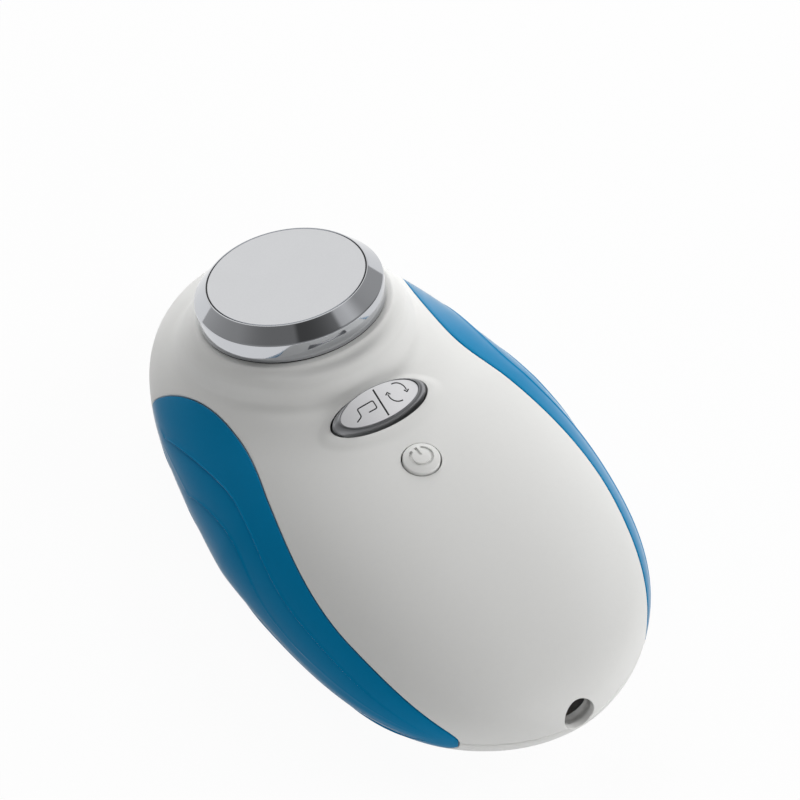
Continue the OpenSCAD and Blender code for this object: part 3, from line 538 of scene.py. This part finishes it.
def inletRing(radius):  # where a tube of this radius meets the tail's skin
    t = np.linspace(0, 2 * math.pi, inlet["points"], endpoint=False)
    x, z = radius * np.cos(t), inlet["z"] + radius * np.sin(t)
    low, high = np.full(len(t), -halfLength - 1), np.full(len(t), inlet["search"])
    for _ in range(cutting["halvings"]):
        mid = (low + high) / 2
        inside = np.where(z >= 0, topZ(x, mid) > z, bellyZ(x, mid) < z)
        inside &= np.abs(x) < halfWidth(mid)
        high, low = np.where(inside, mid, high), np.where(inside, low, mid)
    return np.stack([x, (low + high) / 2, z], -1)


def inletCutter(name):
    return lipCutter(name, inletRing(inlet["radius"]), np.array([0, -1.0, 0]), inlet)


def inletCollar():  # the tube that leads from the hole to the socket
    inner, outer = inletRing(inlet["radius"]), inletRing(inlet["radius"] + inlet["collar"])
    inside = (0, inlet["lap"], 0)
    ends = [ring * (1, 0, 1) + (0, inlet["end"], 0) for ring in (inner, outer)]
    layers = [inner + inside, *ends, outer + inside]
    points = np.stack(layers, 1).reshape(-1, 3)
    newPiece("inletCollar", points, gridFaces(len(inner), 4), "case", "shell_white")


def screwCutters():
    cutters, radius = [], screws["radius"]
    for x, y in screws["places"]:
        for s in (-1, 1):
            t = np.linspace(0, 2 * math.pi, screws["points"], endpoint=False)
            ring = np.stack([s * x + radius * np.cos(t), y + radius * np.sin(t), 0 * t], -1)
            ring[:, 2] = np.maximum(bellyZ(ring[:, 0], ring[:, 1]), case["rest"] - case["belly"])
            cutters.append(lipCutter("screwCutter", ring, np.array([0, 0, -1.0]), screws))
    return cutters


upper = newPiece("caseUpper", *upperShell(), "case", "shell_white")
cut(upper, rockerCutter(), powerCutter(), inletCutter("inletUp"))
smoothAgain(upper)
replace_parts(upper, "upper_shell")
lower = newPiece("caseLower", *lowerShell(), "case", "shell_white")
cut(lower, inletCutter("inletDown"), *screwCutters())
smoothAgain(lower)
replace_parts(lower, "lower_shell")
inletCollar()
print("case made:", len(upper.data.polygons), len(lower.data.polygons))


# Grips: closed lofts with two let-in steps each
def turnOf(length, y):
    return length / np.maximum(halfWidth(y), 8) * 180 / math.pi


def stepLedge(top, riser, depth, bead, before):  # a lit bead, then down to the let-in panel
    foot = depth + grip["foot"] * depth / grip["stepHeight"]
    ledge = [(top + riser * (1 - u), before - bead * math.sin(math.pi / 2 * eased(u)))
             for u in (0.2, 0.5, 0.8)]
    ledge += [(top - riser * u, before - bead + (foot + bead) * eased(u / 0.75))
              for u in (0, 0.1, 0.25, 0.4, 0.6, 0.75)]
    ledge.append((top - riser * 1.1, before + (foot + depth) / 2))
    ledge.append((top - riser * grip["footEnd"], before + depth))
    return ledge


def gripSection(y):
    toTip = abs(2 * (y - grip["front"]) / (grip["back"] - grip["front"]) - 1) ** grip["tipBend"]
    g, lip = turnOf(grip["gap"] + grip["tipPlay"] * toTip, y), turnOf(grip["lip"], y)
    high, low = max(edgeUp(y) - g, grip["leastEdge"]), -max(edgeDown(y) - g, grip["leastEdge"])
    a = min(max(stepUp(y, 0), high / 4), 0.8 * high)
    b = min(max(stepUp(y, 1), a / 4), 0.8 * a)
    riser = min(turnOf(grip["riser"], y), b / 5, (high - a) / 5, (a - b) / 5)
    fadeA, fadeB = eased(stepUp(y, 0) / grip["fade"]), eased(stepUp(y, 1) / grip["fade"])
    da, db = grip["stepHeight"] * fadeA, grip["stepHeight"] * fadeB
    half = []  # angle and depth from the edge down to the parting line
    for u in rimRows[:7]:
        half.append((high - min(turnOf(u, y), high / 8), roundInset(u, grip["edgeRound"])))
    half += [(t, 0) for t in np.linspace(half[-1][0], a + riser, 9)[1:]]
    half += stepLedge(a, riser, da, grip["bead"] * fadeA, 0)
    under = a - riser * grip["footEnd"]
    half += [(t, da * t / under) for t in np.linspace(under, b + riser, 9)[1:]]
    half += stepLedge(b, riser, db, grip["bead"] * fadeB, da * b / under)
    last, depth = b - riser * grip["footEnd"], da * b / under + db
    half += [(t, depth * t / last) for t in np.linspace(last, 0, 8)[1:]]
    ratio = low / high
    outline = [(t * ratio, d) for t, d in half][:-1] + half[::-1]
    inside = case["wall"] + grip["play"]
    back = inside + grip["lipThick"]
    outline += [(high, inside), (high + lip, inside)]
    outline += [(low - lip + (high - low + 2 * lip) * k / 12, back) for k in range(12, -1, -1)]
    outline += [(low - lip, inside), (low, inside)]
    turns, depths = np.array(outline, float).T
    ys = np.full(len(turns), y)
    return skinPoint(ys, turns) - depths[:, None] * skinNormal(ys, turns)


def gripPiece(name, side, node):
    first, last = grip["front"] - grip["gap"], grip["back"] + grip["gap"]
    k = np.linspace(0, 1, grip["sections"])
    ys = first + (last - first) * (1 - np.cos(math.pi * k)) / 2
    rings = np.array([gripSection(y) for y in ys]) * (side, 1, 1)
    n, m = rings.shape[:2]
    faces = gridFaces(n, m, False, True)
    faces += [tuple(range(m)), tuple(range(n * m - 1, (n - 1) * m - 1, -1))]
    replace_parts(newPiece(name, rings.reshape(-1, 3), faces, "case", "grip_blue", 40), node)


gripPiece("gripRight", 1, "grip_right")
gripPiece("gripLeft", -1, "grip_left")
print("grips made")


# Treatment head: a lathe-turned cup with a satin face and polished edges
head = {"radius": 19.05, "bevel": (2.75, 2.8), "band": 4.1, "faceRound": 0.3, "edgeRound": 0.3,
        "rimShare": 0.55, "groove": (0.34, 0.2), "spigot": 15, "cup": 13.2, "depth": 14.6,
        "face": 1.5, "faceRings": (0, 4, 8, 12), "bevelRings": (0.03, 0.5, 0.97, 1), "sides": 256}
seal = {"inset": 0.2, "play": 0.05, "low": -7.4, "high": -6.9}


def headLathe(profile):
    points, faces = lathe(profile, head["sides"])
    return tilted(points, neck["headY"], neck["headZ"], -neck["tilt"]), faces


def headPiece():
    r, (wide, deep) = head["radius"], head["bevel"]
    flat, seam = r - wide, -deep - head["band"]
    e, slope = head["faceRound"], math.degrees(math.atan2(deep, wide))
    rim, (gap, low) = flat - e * head["rimShare"], head["groove"]
    profile = [(x, 0) for x in head["faceRings"]]
    profile += [(rim - gap, 0), (rim - gap * 0.8, -low), (rim - gap * 0.2, -low)]
    profile += arc((rim, -e), e, 90, 90 - slope, 10)
    end = profile[-1]
    profile += [(end[0] + (r - 0.12 - end[0]) * t, end[1] + (-deep + 0.15 - end[1]) * t)
                for t in head["bevelRings"]]
    q = head["edgeRound"]
    profile += arc((r - q, -deep - q * head["rimShare"]), q, 28, 0, 5)
    profile += [(r, -deep - 2), (r, seam + q)]
    profile += arc((r - q, seam + q), q, -15, -90, 6)
    profile += [(head["spigot"], seam), (head["spigot"], -head["depth"]), (head["cup"], -head["depth"]),
                (head["cup"], -head["face"]), (0, -head["face"])]
    piece = newPiece("headCup", *headLathe(profile), "case", "head_chrome", 30)
    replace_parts(piece, "treatment_head")
    return piece


def sealPiece():
    inner, outer = head["spigot"] + seal["play"], head["radius"] - seal["inset"]
    profile = [(inner, seal["low"]), (inner, seal["high"]), (outer, seal["high"]), (outer, seal["low"])]
    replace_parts(newPiece("headSeal", *headLathe(profile), "case", "seal_black"), "head_seal")


cup = headPiece()
sealPiece()
print("head made")


# Mode key: a polished dark rocker with a satin plate, a dividing groove and two signs
pivot = {"y": 3.9623, "z": 14.6, "hub": 2.2, "hubEnd": 6.2, "pin": 1.05, "holeEnd": 12,
         "web": (4.6, 18.2), "pegX": 7, "pegR": 1.2, "pegZ": 14.35, "pegLong": 3.8}


# Closed stack of ovals: half length, half width, height, and if need be shift and far half width
def ovalLoft(layers, count=160):
    layers = [layer + (0, None)[len(layer) - 3:] for layer in layers]
    rings = [ovalRing(a, b, count, far) + (0, shift, z) for a, b, z, shift, far in layers]
    hubs = [(0, shift, z) for a, b, z, shift, far in (layers[0], layers[-1])]
    points = np.concatenate(rings + [hubs])
    return points, cappedFaces(len(layers), count)


def rockerFrame(points, shift=0):
    return tilted(np.asarray(points) + (0, shift, 0), rocker["y"], rocker["z"], rocker["tilt"])


def lengthwise(points, y, z):  # a lathe along the case instead of upright
    p = np.asarray(points)
    return np.stack([p[:, 0], p[:, 2] + y, z - p[:, 1]], -1)


def boxPiece(name, low, high):
    x, y, z = zip(low, high)
    points = [(x[i], y[j], z[k]) for i in (0, 1) for j in (0, 1) for k in (0, 1)]
    faces = [(0, 1, 3, 2), (4, 6, 7, 5), (0, 4, 5, 1), (2, 3, 7, 6), (0, 2, 6, 4), (1, 5, 7, 3)]
    return newPiece(name, points, faces)


def rockerPiece():
    (a, b), (fa, fb) = rocker["plate"], rocker["flank"]
    lip, drop, ledge, off = rocker["lip"], rocker["flankDrop"], rocker["ledge"], rocker["plateShift"]
    end, near, far = a + fa, b + fb, b + off + rocker["farFlank"]
    addEnd, addNear, addFar = rocker["flange"]
    layers = [(end + addEnd, near + addNear, z, 0, far + addFar) for z in rocker["flangeLow"]]
    layers += [(end, near, z, 0, far) for z in (rocker["flangeTop"], -drop - 0.1)]
    layers += [(end - 0.05, near - 0.04, -drop + 0.02, 0, far - 0.01),
               (end - ledge, near - 0.13, -drop + 0.08, 0, far - 0.03)]
    inner, outer = np.array([a + lip, b + lip]), np.array([end - ledge, near - 0.13])
    for t in np.linspace(0.02, 1, 9):  # the flank swells a little between its foot and the lip
        w, h = outer + (inner - outer) * t, -drop + 0.08 + (drop - 0.3) * math.sin(t * math.pi / 2)
        layers.append((w[0], w[1], h, off * t, far - 0.03 + (inner[1] - far + 0.03) * t))
    for t in (30, 60, 90, 120, 150):
        s, c = math.sin(math.radians(t)), math.cos(math.radians(t))
        layers.append((a + lip / 2 + 0.03 + lip * 0.4 * c, b + lip / 2 + 0.03 + lip * 0.4 * c,
                       -0.22 + 0.05 * s, off))
    layers += [(a + 0.04, b + 0.04, z, off) for z in (-0.26, -0.9)]
    points, faces = ovalLoft(layers)
    body = newPiece("modeRocker", rockerFrame(points), faces, "mode_key", "rocker_metal", 40)
    y, z, hub, hubEnd = pivot["y"], pivot["z"], pivot["hub"], pivot["hubEnd"]
    web = boxPiece("web", (-hub, y - pivot["web"][0], z), (hub, y + pivot["web"][0], pivot["web"][1]))
    tube, tubeFaces = lathe([(0, -hubEnd), (hub, -hubEnd), (hub, hubEnd), (0, hubEnd)], 48)
    parts = [web, newPiece("barrel", lengthwise(tube, y, z), tubeFaces)]
    r, long = pivot["pegR"], pivot["pegLong"]
    tip = [(0, 0)] + [(r * math.sin(t), r - r * math.cos(t)) for t in np.linspace(0.2, math.pi / 2, 8)]
    peg, pegFaces = lathe(tip + [(r, long), (0, long)], 32)
    for s in (-1, 1):
        parts.append(newPiece("peg", peg + (s * pivot["pegX"], y, pivot["pegZ"]), pegFaces))
    join(body, *parts)
    pin, out = pivot["pin"], pivot["holeEnd"]
    hole, holeFaces = lathe([(0, -out), (pin, -out), (pin, out), (0, out)], 40)
    cut(body, newPiece("pinHole", lengthwise(hole, y, z), holeFaces))
    smoothAgain(body, 40)
    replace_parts(body, "mode_rocker")


def strip(path, width, low, high):  # a flat band along a plan line, as a closed solid
    path = np.asarray(path, float)
    ahead, behind = np.vstack([path[1:], path[-1:]]), np.vstack([path[:1], path[:-1]])
    one, two = unit(path - behind), unit(ahead - path)
    one[0], two[-1] = two[0], one[-1]
    along = unit(one + two)
    side = np.stack([-along[:, 1], along[:, 0]], -1)
    side /= np.maximum(0.4, (side * np.stack([-one[:, 1], one[:, 0]], -1)).sum(-1))[:, None]
    left, right = path + side * width / 2, path - side * width / 2
    rows = []
    for edge, height in ((left, low), (right, low), (right, high), (left, high)):
        z = height(edge[:, 0], edge[:, 1]) if callable(height) else np.full(len(edge), height)
        rows.append(np.column_stack([edge, z]))
    points = np.stack(rows, 1).reshape(-1, 3)
    last = 4 * (len(path) - 1)
    ends = [(0, 1, 2, 3), (last + 3, last + 2, last + 1, last)]
    return points, gridFaces(len(path), 4, False, True) + ends


def roundedPath(points, radius):  # plan line with its corners rounded
    points = [np.array(p, float) for p in points]
    out = [points[0]]
    for a, b, c in zip(points, points[1:], points[2:]):
        before, after = unit(a - b), unit(c - b)
        for t in np.linspace(0, 1, 5):
            first, last = b + before * radius, b + after * radius
            out.append(first * (1 - t) ** 2 + b * 2 * t * (1 - t) + last * t * t)
    return np.array(out + [points[-1]])


plate = {"thick": 0.85, "dome": 0.5, "divider": (0.2, 3.0), "dividerWidth": 0.36, "signWidth": 0.26,
         "signDeep": 0.08, "paintThick": 0.02, "paintTop": 0.4, "paintGap": 0.02,
         "cycle": (4.2, 0.4), "cycleRadius": 1.93, "waveRound": 0.4,
         "wave": [(-5.9, -1.35), (-4.6, -0.75), (-4.6, 0.95), (-1.0, 1.08), (-1.0, -0.65),
                  (-2.9, -0.68)]}


def plateTop(x):  # the plate is slightly arched from end to end
    return -plate["dome"] * np.minimum(1, (x / rocker["plate"][0]) ** 2)


def signFloor(x, _):
    return plateTop(x) - plate["signDeep"]


def paintLow(x, y):
    return signFloor(x, y) - plate["paintThick"]


def paintHigh(x, _):
    return plateTop(x) - plate["signDeep"] * plate["paintTop"]


def signPaths():
    cx, cy = plate["cycle"]
    r = plate["cycleRadius"]
    x, y = plate["divider"]
    paths = [np.array([(x, y * k) for k in np.linspace(-1, 1, 12)])]
    for first, last in ((95, -12), (275, 168)):  # two arcs that chase each other
        t = np.radians(np.linspace(first, last, 18))
        paths.append(np.stack([cx + r * np.cos(t), cy + r * np.sin(t)], -1))
    for at in (-12, 168):  # arrow heads at the arcs' ends
        t = math.radians(at)
        tip = np.array([cx + r * math.cos(t), cy + r * math.sin(t)])
        onward = np.array([math.sin(t), -math.cos(t)])
        outward = np.array([math.cos(t), math.sin(t)])
        paths.append(roundedPath([tip - onward * 0.1 + outward * 0.5, tip + onward * 0.4,
                                  tip - onward * 0.1 - outward * 0.5], 0.05))
    paths.append(roundedPath(plate["wave"], plate["waveRound"]))
    return paths


def platePiece():
    (a, b), shift = rocker["plate"], rocker["plateShift"]
    layers = [(a, b, -plate["thick"]), (a, b, -0.08), (a - 0.02, b - 0.02, -0.03),
              (a - 0.08, b - 0.08, 0)]
    layers += [(a * k, b * k, 0) for k in (0.93, 0.85, 0.75, 0.62, 0.48, 0.32, 0.16, 0.05)]
    points, faces = ovalLoft(layers, 200)
    points[:, 2] -= plate["dome"] * (points[:, 0] / a) ** 2 * (points[:, 2] > -plate["thick"])
    body = newPiece("modePlate", rockerFrame(points, shift), faces, "mode_key", "plate_satin", 25)
    marks = [(path, plate["signWidth"] if k else plate["dividerWidth"])
             for k, path in enumerate(signPaths())]
    cutters = []
    for path, wide in marks:
        sign, signFaces = strip(path, wide, signFloor, 1)
        cutters.append(newPiece("signCutter", rockerFrame(sign, shift), signFaces))
    cut(body, *cutters)
    smoothAgain(body, 25)
    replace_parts(body, "mode_plate")
    for k, (path, wide) in enumerate(marks):  # dark paint in the signs
        sign, signFaces = strip(path, wide - plate["paintGap"], paintLow, paintHigh)
        newPiece(f"signPaint{k + 1}", rockerFrame(sign, shift), signFaces, "mode_key", "seal_black")


rockerPiece()
platePiece()
print("mode key made")


# Power key: a domed cap with the standby sign pressed in
standby = {"radius": 2.1, "width": 0.6, "deep": 0.4, "open": 28, "turn": 90, "centre": (0.2, 0.3),
           "bar": (0.1, 2.3)}


def keyTop():
    return float(topZ(np.array(0.0), np.array(powerKey["y"]), False)) + powerKey["proud"]


def powerPiece():
    r, dome, top, edge = powerKey["radius"], powerKey["dome"], keyTop(), powerKey["edge"]
    rimLow = top - powerKey["proud"] - case["wall"] - powerKey["below"]

    def fall(x):
        return top - dome + math.sqrt(dome ** 2 - x ** 2)

    def bottom(x, y):
        return top - dome + np.sqrt(dome ** 2 - x ** 2 - (y - powerKey["y"]) ** 2) - standby["deep"]

    (wide, thick), stem, stemEnd = powerKey["flange"], powerKey["stem"], powerKey["stemEnd"]
    profile = [(0, top)] + [(x, fall(x)) for x in np.linspace(0.3, r - edge, 14)]
    profile += arc((r - edge, fall(r - edge) - edge), edge, 74, 8, 6)
    profile += [(r, rimLow + thick), (r + wide, rimLow + thick), (r + wide, rimLow),
                (stem, rimLow), (stem, stemEnd), (0, stemEnd)]
    points, faces = lathe(profile, 128)
    body = newPiece("powerKey", points + (0, powerKey["y"], 0), faces, "power_key", "key_white", 35)
    cx, cy = standby["centre"]
    turn, opening, size = standby["turn"], standby["open"], standby["radius"]
    t = np.radians(np.linspace(turn + opening, turn + 360 - opening, 48))
    ringPath = np.stack([cx + size * np.cos(t), powerKey["y"] + cy + size * np.sin(t)], -1)
    way = np.array([math.cos(math.radians(turn)), math.sin(math.radians(turn))])
    start = np.array([cx, powerKey["y"] + cy])
    bar = [start + way * d for d in np.linspace(*standby["bar"], 8)]
    cutters = []
    for path in (ringPath, bar):
        mark, markFaces = strip(path, standby["width"], bottom, top + 1)
        cutters.append(newPiece("standbyCutter", mark, markFaces))
    cut(body, *cutters)
    smoothAgain(body, 35)
    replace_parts(body, "power_button")


powerPiece()
print("power key made")


# Finishes: every slot has a node material of its own
def linear(hexColour):
    values = [int(hexColour[i:i + 2], 16) / 255 for i in (0, 2, 4)]
    return [v / 12.92 if v <= 0.04045 else ((v + 0.055) / 1.055) ** 2.4 for v in values]


finishes = {
    "shell_white": {"colour": "e3e3e1", "rough": 0.42, "grain": 900, "spread": 0.012},
    "grip_blue": {"colour": "007dae", "rough": 0.42, "grain": 1400, "bump": 0.1, "spread": 0.04,
                  "Specular IOR Level": 0.05, "Sheen Weight": 1.0, "Sheen Roughness": 0.28},
    "head_satin": {"colour": "d3d4d6", "metal": 1, "rough": 0.34, "grain": 2600, "spread": 0.03},
    "head_chrome": {"colour": "c4c6ca", "metal": 1, "rough": 0.06, "grain": 120, "bump": 0, "spread": 0.01},
    "seal_black": {"colour": "1b1c1e", "rough": 0.5, "grain": 900, "spread": 0.1},
    "nut_steel": {"colour": "3c3e42", "metal": 1, "rough": 0.4, "grain": 700, "spread": 0.1},
    "piezo_ceramic": {"colour": "d8d0b8", "rough": 0.5, "grain": 900, "spread": 0.04},
    "lead_red": {"colour": "a01c16", "rough": 0.4, "grain": 600},
    "rocker_metal": {"colour": "a2a3a6", "metal": 1, "rough": 0.3, "grain": 2400, "bump": 0.06},
    "plate_satin": {"colour": "f0f0f2", "metal": 1, "rough": 0.3, "grain": 2200, "bump": 0.04,
                    "spread": 0.03},
    "steel": {"colour": "a8aaad", "metal": 1, "rough": 0.3, "grain": 700},
    "key_white": {"colour": "e4e4e2", "rough": 0.38, "grain": 900, "bump": 0.04, "spread": 0.012},
    "board_green": {"colour": "1c5a34", "rough": 0.35, "grain": 500, "spread": 0.08},
    "switch_black": {"colour": "222326", "rough": 0.45, "grain": 800, "bump": 0.08, "spread": 0.1},
    "plunger_cream": {"colour": "d9cfb4", "rough": 0.4, "grain": 800, "spread": 0.04},
    "contact_gold": {"colour": "d8b25a", "metal": 1, "rough": 0.25, "grain": 500, "bump": 0.03},
    "ferrite": {"colour": "36383c", "rough": 0.6, "grain": 900, "bump": 0.15, "spread": 0.12},
    "winding": {"colour": "a8622c", "metal": 1, "rough": 0.35, "grain": 1500, "bump": 0.3, "spread": 0.12},
    "capacitor_blue": {"colour": "26407c", "rough": 0.3, "grain": 400, "bump": 0.03, "spread": 0.06},
    "sink_aluminium": {"colour": "b4b6b9", "metal": 1, "rough": 0.35, "grain": 1600, "bump": 0.08},
    "resistor_tan": {"colour": "c8a878", "rough": 0.5, "grain": 700, "spread": 0.08}}


surface = {"detail": 3, "wide": 12, "gloss": (0.88, 1.12), "relief": 0.00005}
face = {"above": 0.03, "facing": 0.93}  # where the head's face is, in metres and as a cosine


def finish(name, colour, rough, grain, bump=0.05, spread=0.05, metal=0, **evenValues):
    material = bpy.data.materials.new(name)
    material.use_nodes = True
    nodes, links = material.node_tree.nodes, material.node_tree.links
    shader = nodes["Principled BSDF"]
    shader.inputs["Metallic"].default_value = metal
    for socket, value in evenValues.items():
        shader.inputs[socket].default_value = value
    place = nodes.new("ShaderNodeTexCoord")
    noise = nodes.new("ShaderNodeTexNoise")
    noise.inputs["Scale"].default_value = grain
    noise.inputs["Detail"].default_value = surface["detail"]
    links.new(place.outputs["Object"], noise.inputs["Vector"])
    tint = nodes.new("ShaderNodeMix")
    tint.data_type = "RGBA"
    base = linear(colour)
    tint.inputs["A"].default_value = [c * (1 - spread) for c in base] + [1]
    tint.inputs["B"].default_value = [min(1, c * (1 + spread)) for c in base] + [1]
    links.new(noise.outputs["Fac"], tint.inputs["Factor"])
    links.new(tint.outputs["Result"], shader.inputs["Base Color"])
    wide = nodes.new("ShaderNodeTexNoise")
    wide.inputs["Scale"].default_value = grain / surface["wide"]
    links.new(place.outputs["Object"], wide.inputs["Vector"])
    gloss = nodes.new("ShaderNodeMapRange")
    for end, share in zip(("To Min", "To Max"), surface["gloss"]):
        gloss.inputs[end].default_value = rough * share
    links.new(wide.outputs["Fac"], gloss.inputs["Value"])
    links.new(gloss.outputs["Result"], shader.inputs["Roughness"])
    if bump:
        relief = nodes.new("ShaderNodeBump")
        relief.inputs["Strength"].default_value = bump
        relief.inputs["Distance"].default_value = surface["relief"]
        links.new(noise.outputs["Fac"], relief.inputs["Height"])
        links.new(relief.outputs["Normal"], shader.inputs["Normal"])
    return material


materials = {name: finish(name, **values) for name, values in finishes.items()}
slotOf = {"upper_shell": "shell_white", "lower_shell": "shell_white", "grip_left": "grip_blue",
          "grip_right": "grip_blue", "treatment_head": "head_chrome", "head_seal": "seal_black",
          "head_nut": "nut_steel", "piezo_disc": "piezo_ceramic", "piezo_leads": "lead_red",
          "mode_rocker": "rocker_metal", "mode_plate": "plate_satin", "rocker_pin": "steel",
          "power_button": "key_white", "control_board": "board_green", "board_screws": "steel",
          "case_screws": "steel", "power_switch": "switch_black", "power_plunger": "plunger_cream",
          "mode_switch_left": "switch_black", "mode_plunger_left": "plunger_cream",
          "mode_switch_right": "switch_black", "mode_plunger_right": "plunger_cream",
          "dc_jack": "switch_black", "jack_contact": "contact_gold", "transformer_core": "ferrite",
          "transformer_winding": "winding", "capacitors": "capacitor_blue",
          "control_chip": "switch_black", "power_transistor": "switch_black",
          "heat_sink": "sink_aluminium", "resistors": "resistor_tan"}
for name, node in frame["nodes"].items():
    node.data.materials.clear()
    node.data.materials.append(materials[slotOf[name]])
for piece in bpy.context.scene.objects:
    if piece.get("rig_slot") and "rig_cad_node" not in piece:
        piece.data.materials.clear()
        piece.data.materials.append(materials[piece["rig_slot"]])
cup.data.materials.append(materials["head_satin"])
# the third slot paints the groove round the face black: painted shade and dark reflection at the face's edge
cup.data.materials.append(materials["seal_black"])
grooveEnd = head["radius"] - head["bevel"][0] - head["faceRound"] * head["rimShare"]
faceOut = Vector((0, math.sin(tilt), math.cos(tilt)))
for polygon in cup.data.polygons:  # the flat face is satin, the groove round it is painted black as a painted shade line, the rest is polished
    if polygon.center.z > face["above"] and polygon.normal.dot(faceOut) > face["facing"]:
        out = polygon.center - Vector((0, neck["headY"], neck["headZ"] + partHeight)) * mm
        fromAxis = (out - faceOut * out.dot(faceOut)).length / mm
        # groove polygons take the black slot, a painted shade line round the face
        polygon.material_index = 2 if grooveEnd - head["groove"][0] < fromAxis < grooveEnd else 1
print("finishes made")


# Floor, backdrop and light
studio = {"floor": 3.0, "floorTint": "f2f2f2", "floorRough": 0.9, "floorGlow": 0.95, "fill": 0.15,
          "brightSide": (0.45, 0.7, 0.55), "dim": (0.2, 0.33), "bright": (0.75, 1.0),
          "flags": (((0.04, -0.54, 0.84), (0.9, 1), (0.935, 0.38)),
                    ((-0.3, -0.05, 0.95), (0.68, 1), (0.97, 0.6)),
                    ((0.95, 0.1, 0.3), (0.75, 1), (0.93, 0.45))),
          "lampSize": 0.6, "aim": (0, 0, 0.02),
          "lamps": (("window", (0.58, 0.9, 0.27), 7.7), ("back", (0, 0.9, 0.6), 3.3),
                    ("softbox", (0.92, -0.25, 0.6), 6.3), ("front", (0, -1.05, 0.3), 3),
                    ("left", (-0.6, -0.5, 0.6), 1.1))}


def anyOf(nodes, links, outputs):  # the largest of some values
    last = outputs[0]
    for output in outputs[1:]:
        largest = nodes.new("ShaderNodeMath")
        largest.operation = "MAXIMUM"
        links.new(last, largest.inputs[0])
        links.new(output, largest.inputs[1])
        last = largest.outputs["Value"]
    return last


def makeFloor():
    half = studio["floor"] / 2
    mesh = bpy.data.meshes.new("floor")
    corners = [(-half, -half, 0), (half, -half, 0), (half, half, 0), (-half, half, 0)]
    mesh.from_pydata(corners, [], [(0, 1, 2, 3)])
    floor = bpy.data.objects.new("floor", mesh)
    bpy.context.scene.collection.objects.link(floor)
    paper = bpy.data.materials.new("paper")
    paper.use_nodes = True
    nodes, links = paper.node_tree.nodes, paper.node_tree.links
    matte, out = nodes["Principled BSDF"], nodes["Material Output"]
    matte.inputs["Base Color"].default_value = linear(studio["floorTint"]) + [1]
    matte.inputs["Roughness"].default_value = studio["floorRough"]
    glow, mix, rays, share = (nodes.new(kind) for kind in (
        "ShaderNodeEmission", "ShaderNodeMixShader", "ShaderNodeLightPath", "ShaderNodeMath"))
    glow.inputs["Color"].default_value = (1, 1, 1, 1)
    kinds = [rays.outputs[f"Is {kind} Ray"] for kind in ("Camera", "Glossy", "Transmission")]
    seen = anyOf(nodes, links, kinds)
    share.operation = "MULTIPLY"
    share.inputs[1].default_value = studio["floorGlow"]
    links.new(seen, share.inputs[0])
    links.new(share.outputs["Value"], mix.inputs["Fac"])
    links.new(matte.outputs["BSDF"], mix.inputs[1])
    links.new(glow.outputs["Emission"], mix.inputs[2])
    links.new(mix.outputs["Shader"], out.inputs["Surface"])
    mesh.materials.append(paper)


def fallOff(nodes, links, side, start, end):  # strength by direction, each end a (cosine, value)
    way, toward, fall = (nodes.new(kind) for kind in (
        "ShaderNodeTexCoord", "ShaderNodeVectorMath", "ShaderNodeMapRange"))
    toward.operation = "DOT_PRODUCT"
    toward.inputs[1].default_value = Vector(side).normalized()
    links.new(way.outputs["Generated"], toward.inputs[0])
    fall.interpolation_type = "SMOOTHSTEP"
    for name, value in zip(("From Min", "To Min", "From Max", "To Max"), (*start, *end)):
        fall.inputs[name].default_value = value
    links.new(toward.outputs["Value"], fall.inputs["Value"])
    return fall.outputs["Result"]


def makeWorld():  # white to the eye, even fill, and mirrored with a bright side and dark flags
    world = bpy.data.worlds.new("studio")
    bpy.context.scene.world = world
    world.use_nodes = True
    nodes, links = world.node_tree.nodes, world.node_tree.links
    fill, out = nodes["Background"], nodes["World Output"]
    fill.inputs["Strength"].default_value = studio["fill"]
    white, mirrored = nodes.new("ShaderNodeBackground"), nodes.new("ShaderNodeBackground")
    for shade in (fill, white, mirrored):
        shade.inputs["Color"].default_value = (1, 1, 1, 1)
    strength = fallOff(nodes, links, studio["brightSide"], studio["dim"], studio["bright"])
    for flag in studio["flags"]:
        shade = nodes.new("ShaderNodeMath")
        shade.operation = "MULTIPLY"
        links.new(strength, shade.inputs[0])
        links.new(fallOff(nodes, links, *flag), shade.inputs[1])
        strength = shade.outputs["Value"]
    links.new(strength, mirrored.inputs["Strength"])
    rays, inMirror, inView = (nodes.new(kind) for kind in (
        "ShaderNodeLightPath", "ShaderNodeMixShader", "ShaderNodeMixShader"))
    links.new(rays.outputs["Is Glossy Ray"], inMirror.inputs["Fac"])
    links.new(fill.outputs["Background"], inMirror.inputs[1])
    links.new(mirrored.outputs["Background"], inMirror.inputs[2])
    seen = anyOf(nodes, links, [rays.outputs["Is Camera Ray"], rays.outputs["Is Transmission Ray"]])
    links.new(seen, inView.inputs["Fac"])
    links.new(inMirror.outputs["Shader"], inView.inputs[1])
    links.new(white.outputs["Background"], inView.inputs[2])
    links.new(inView.outputs["Shader"], out.inputs["Surface"])


def makeLamps():
    for name, place, watts in studio["lamps"]:
        data = bpy.data.lights.new(name, "AREA")
        data.shape, data.size, data.energy = "DISK", studio["lampSize"], watts
        lamp = bpy.data.objects.new(name, data)
        lamp.visible_glossy = False  # metal mirrors the backdrop, not the lamps
        lamp.location = place
        toward = Vector(studio["aim"]) - Vector(place)
        lamp.rotation_euler = toward.to_track_quat("-Z", "Y").to_euler()
        bpy.context.scene.collection.objects.link(lamp)


makeFloor()
makeWorld()
makeLamps()
bpy.context.scene.view_settings.view_transform = "Standard"
print("studio set")
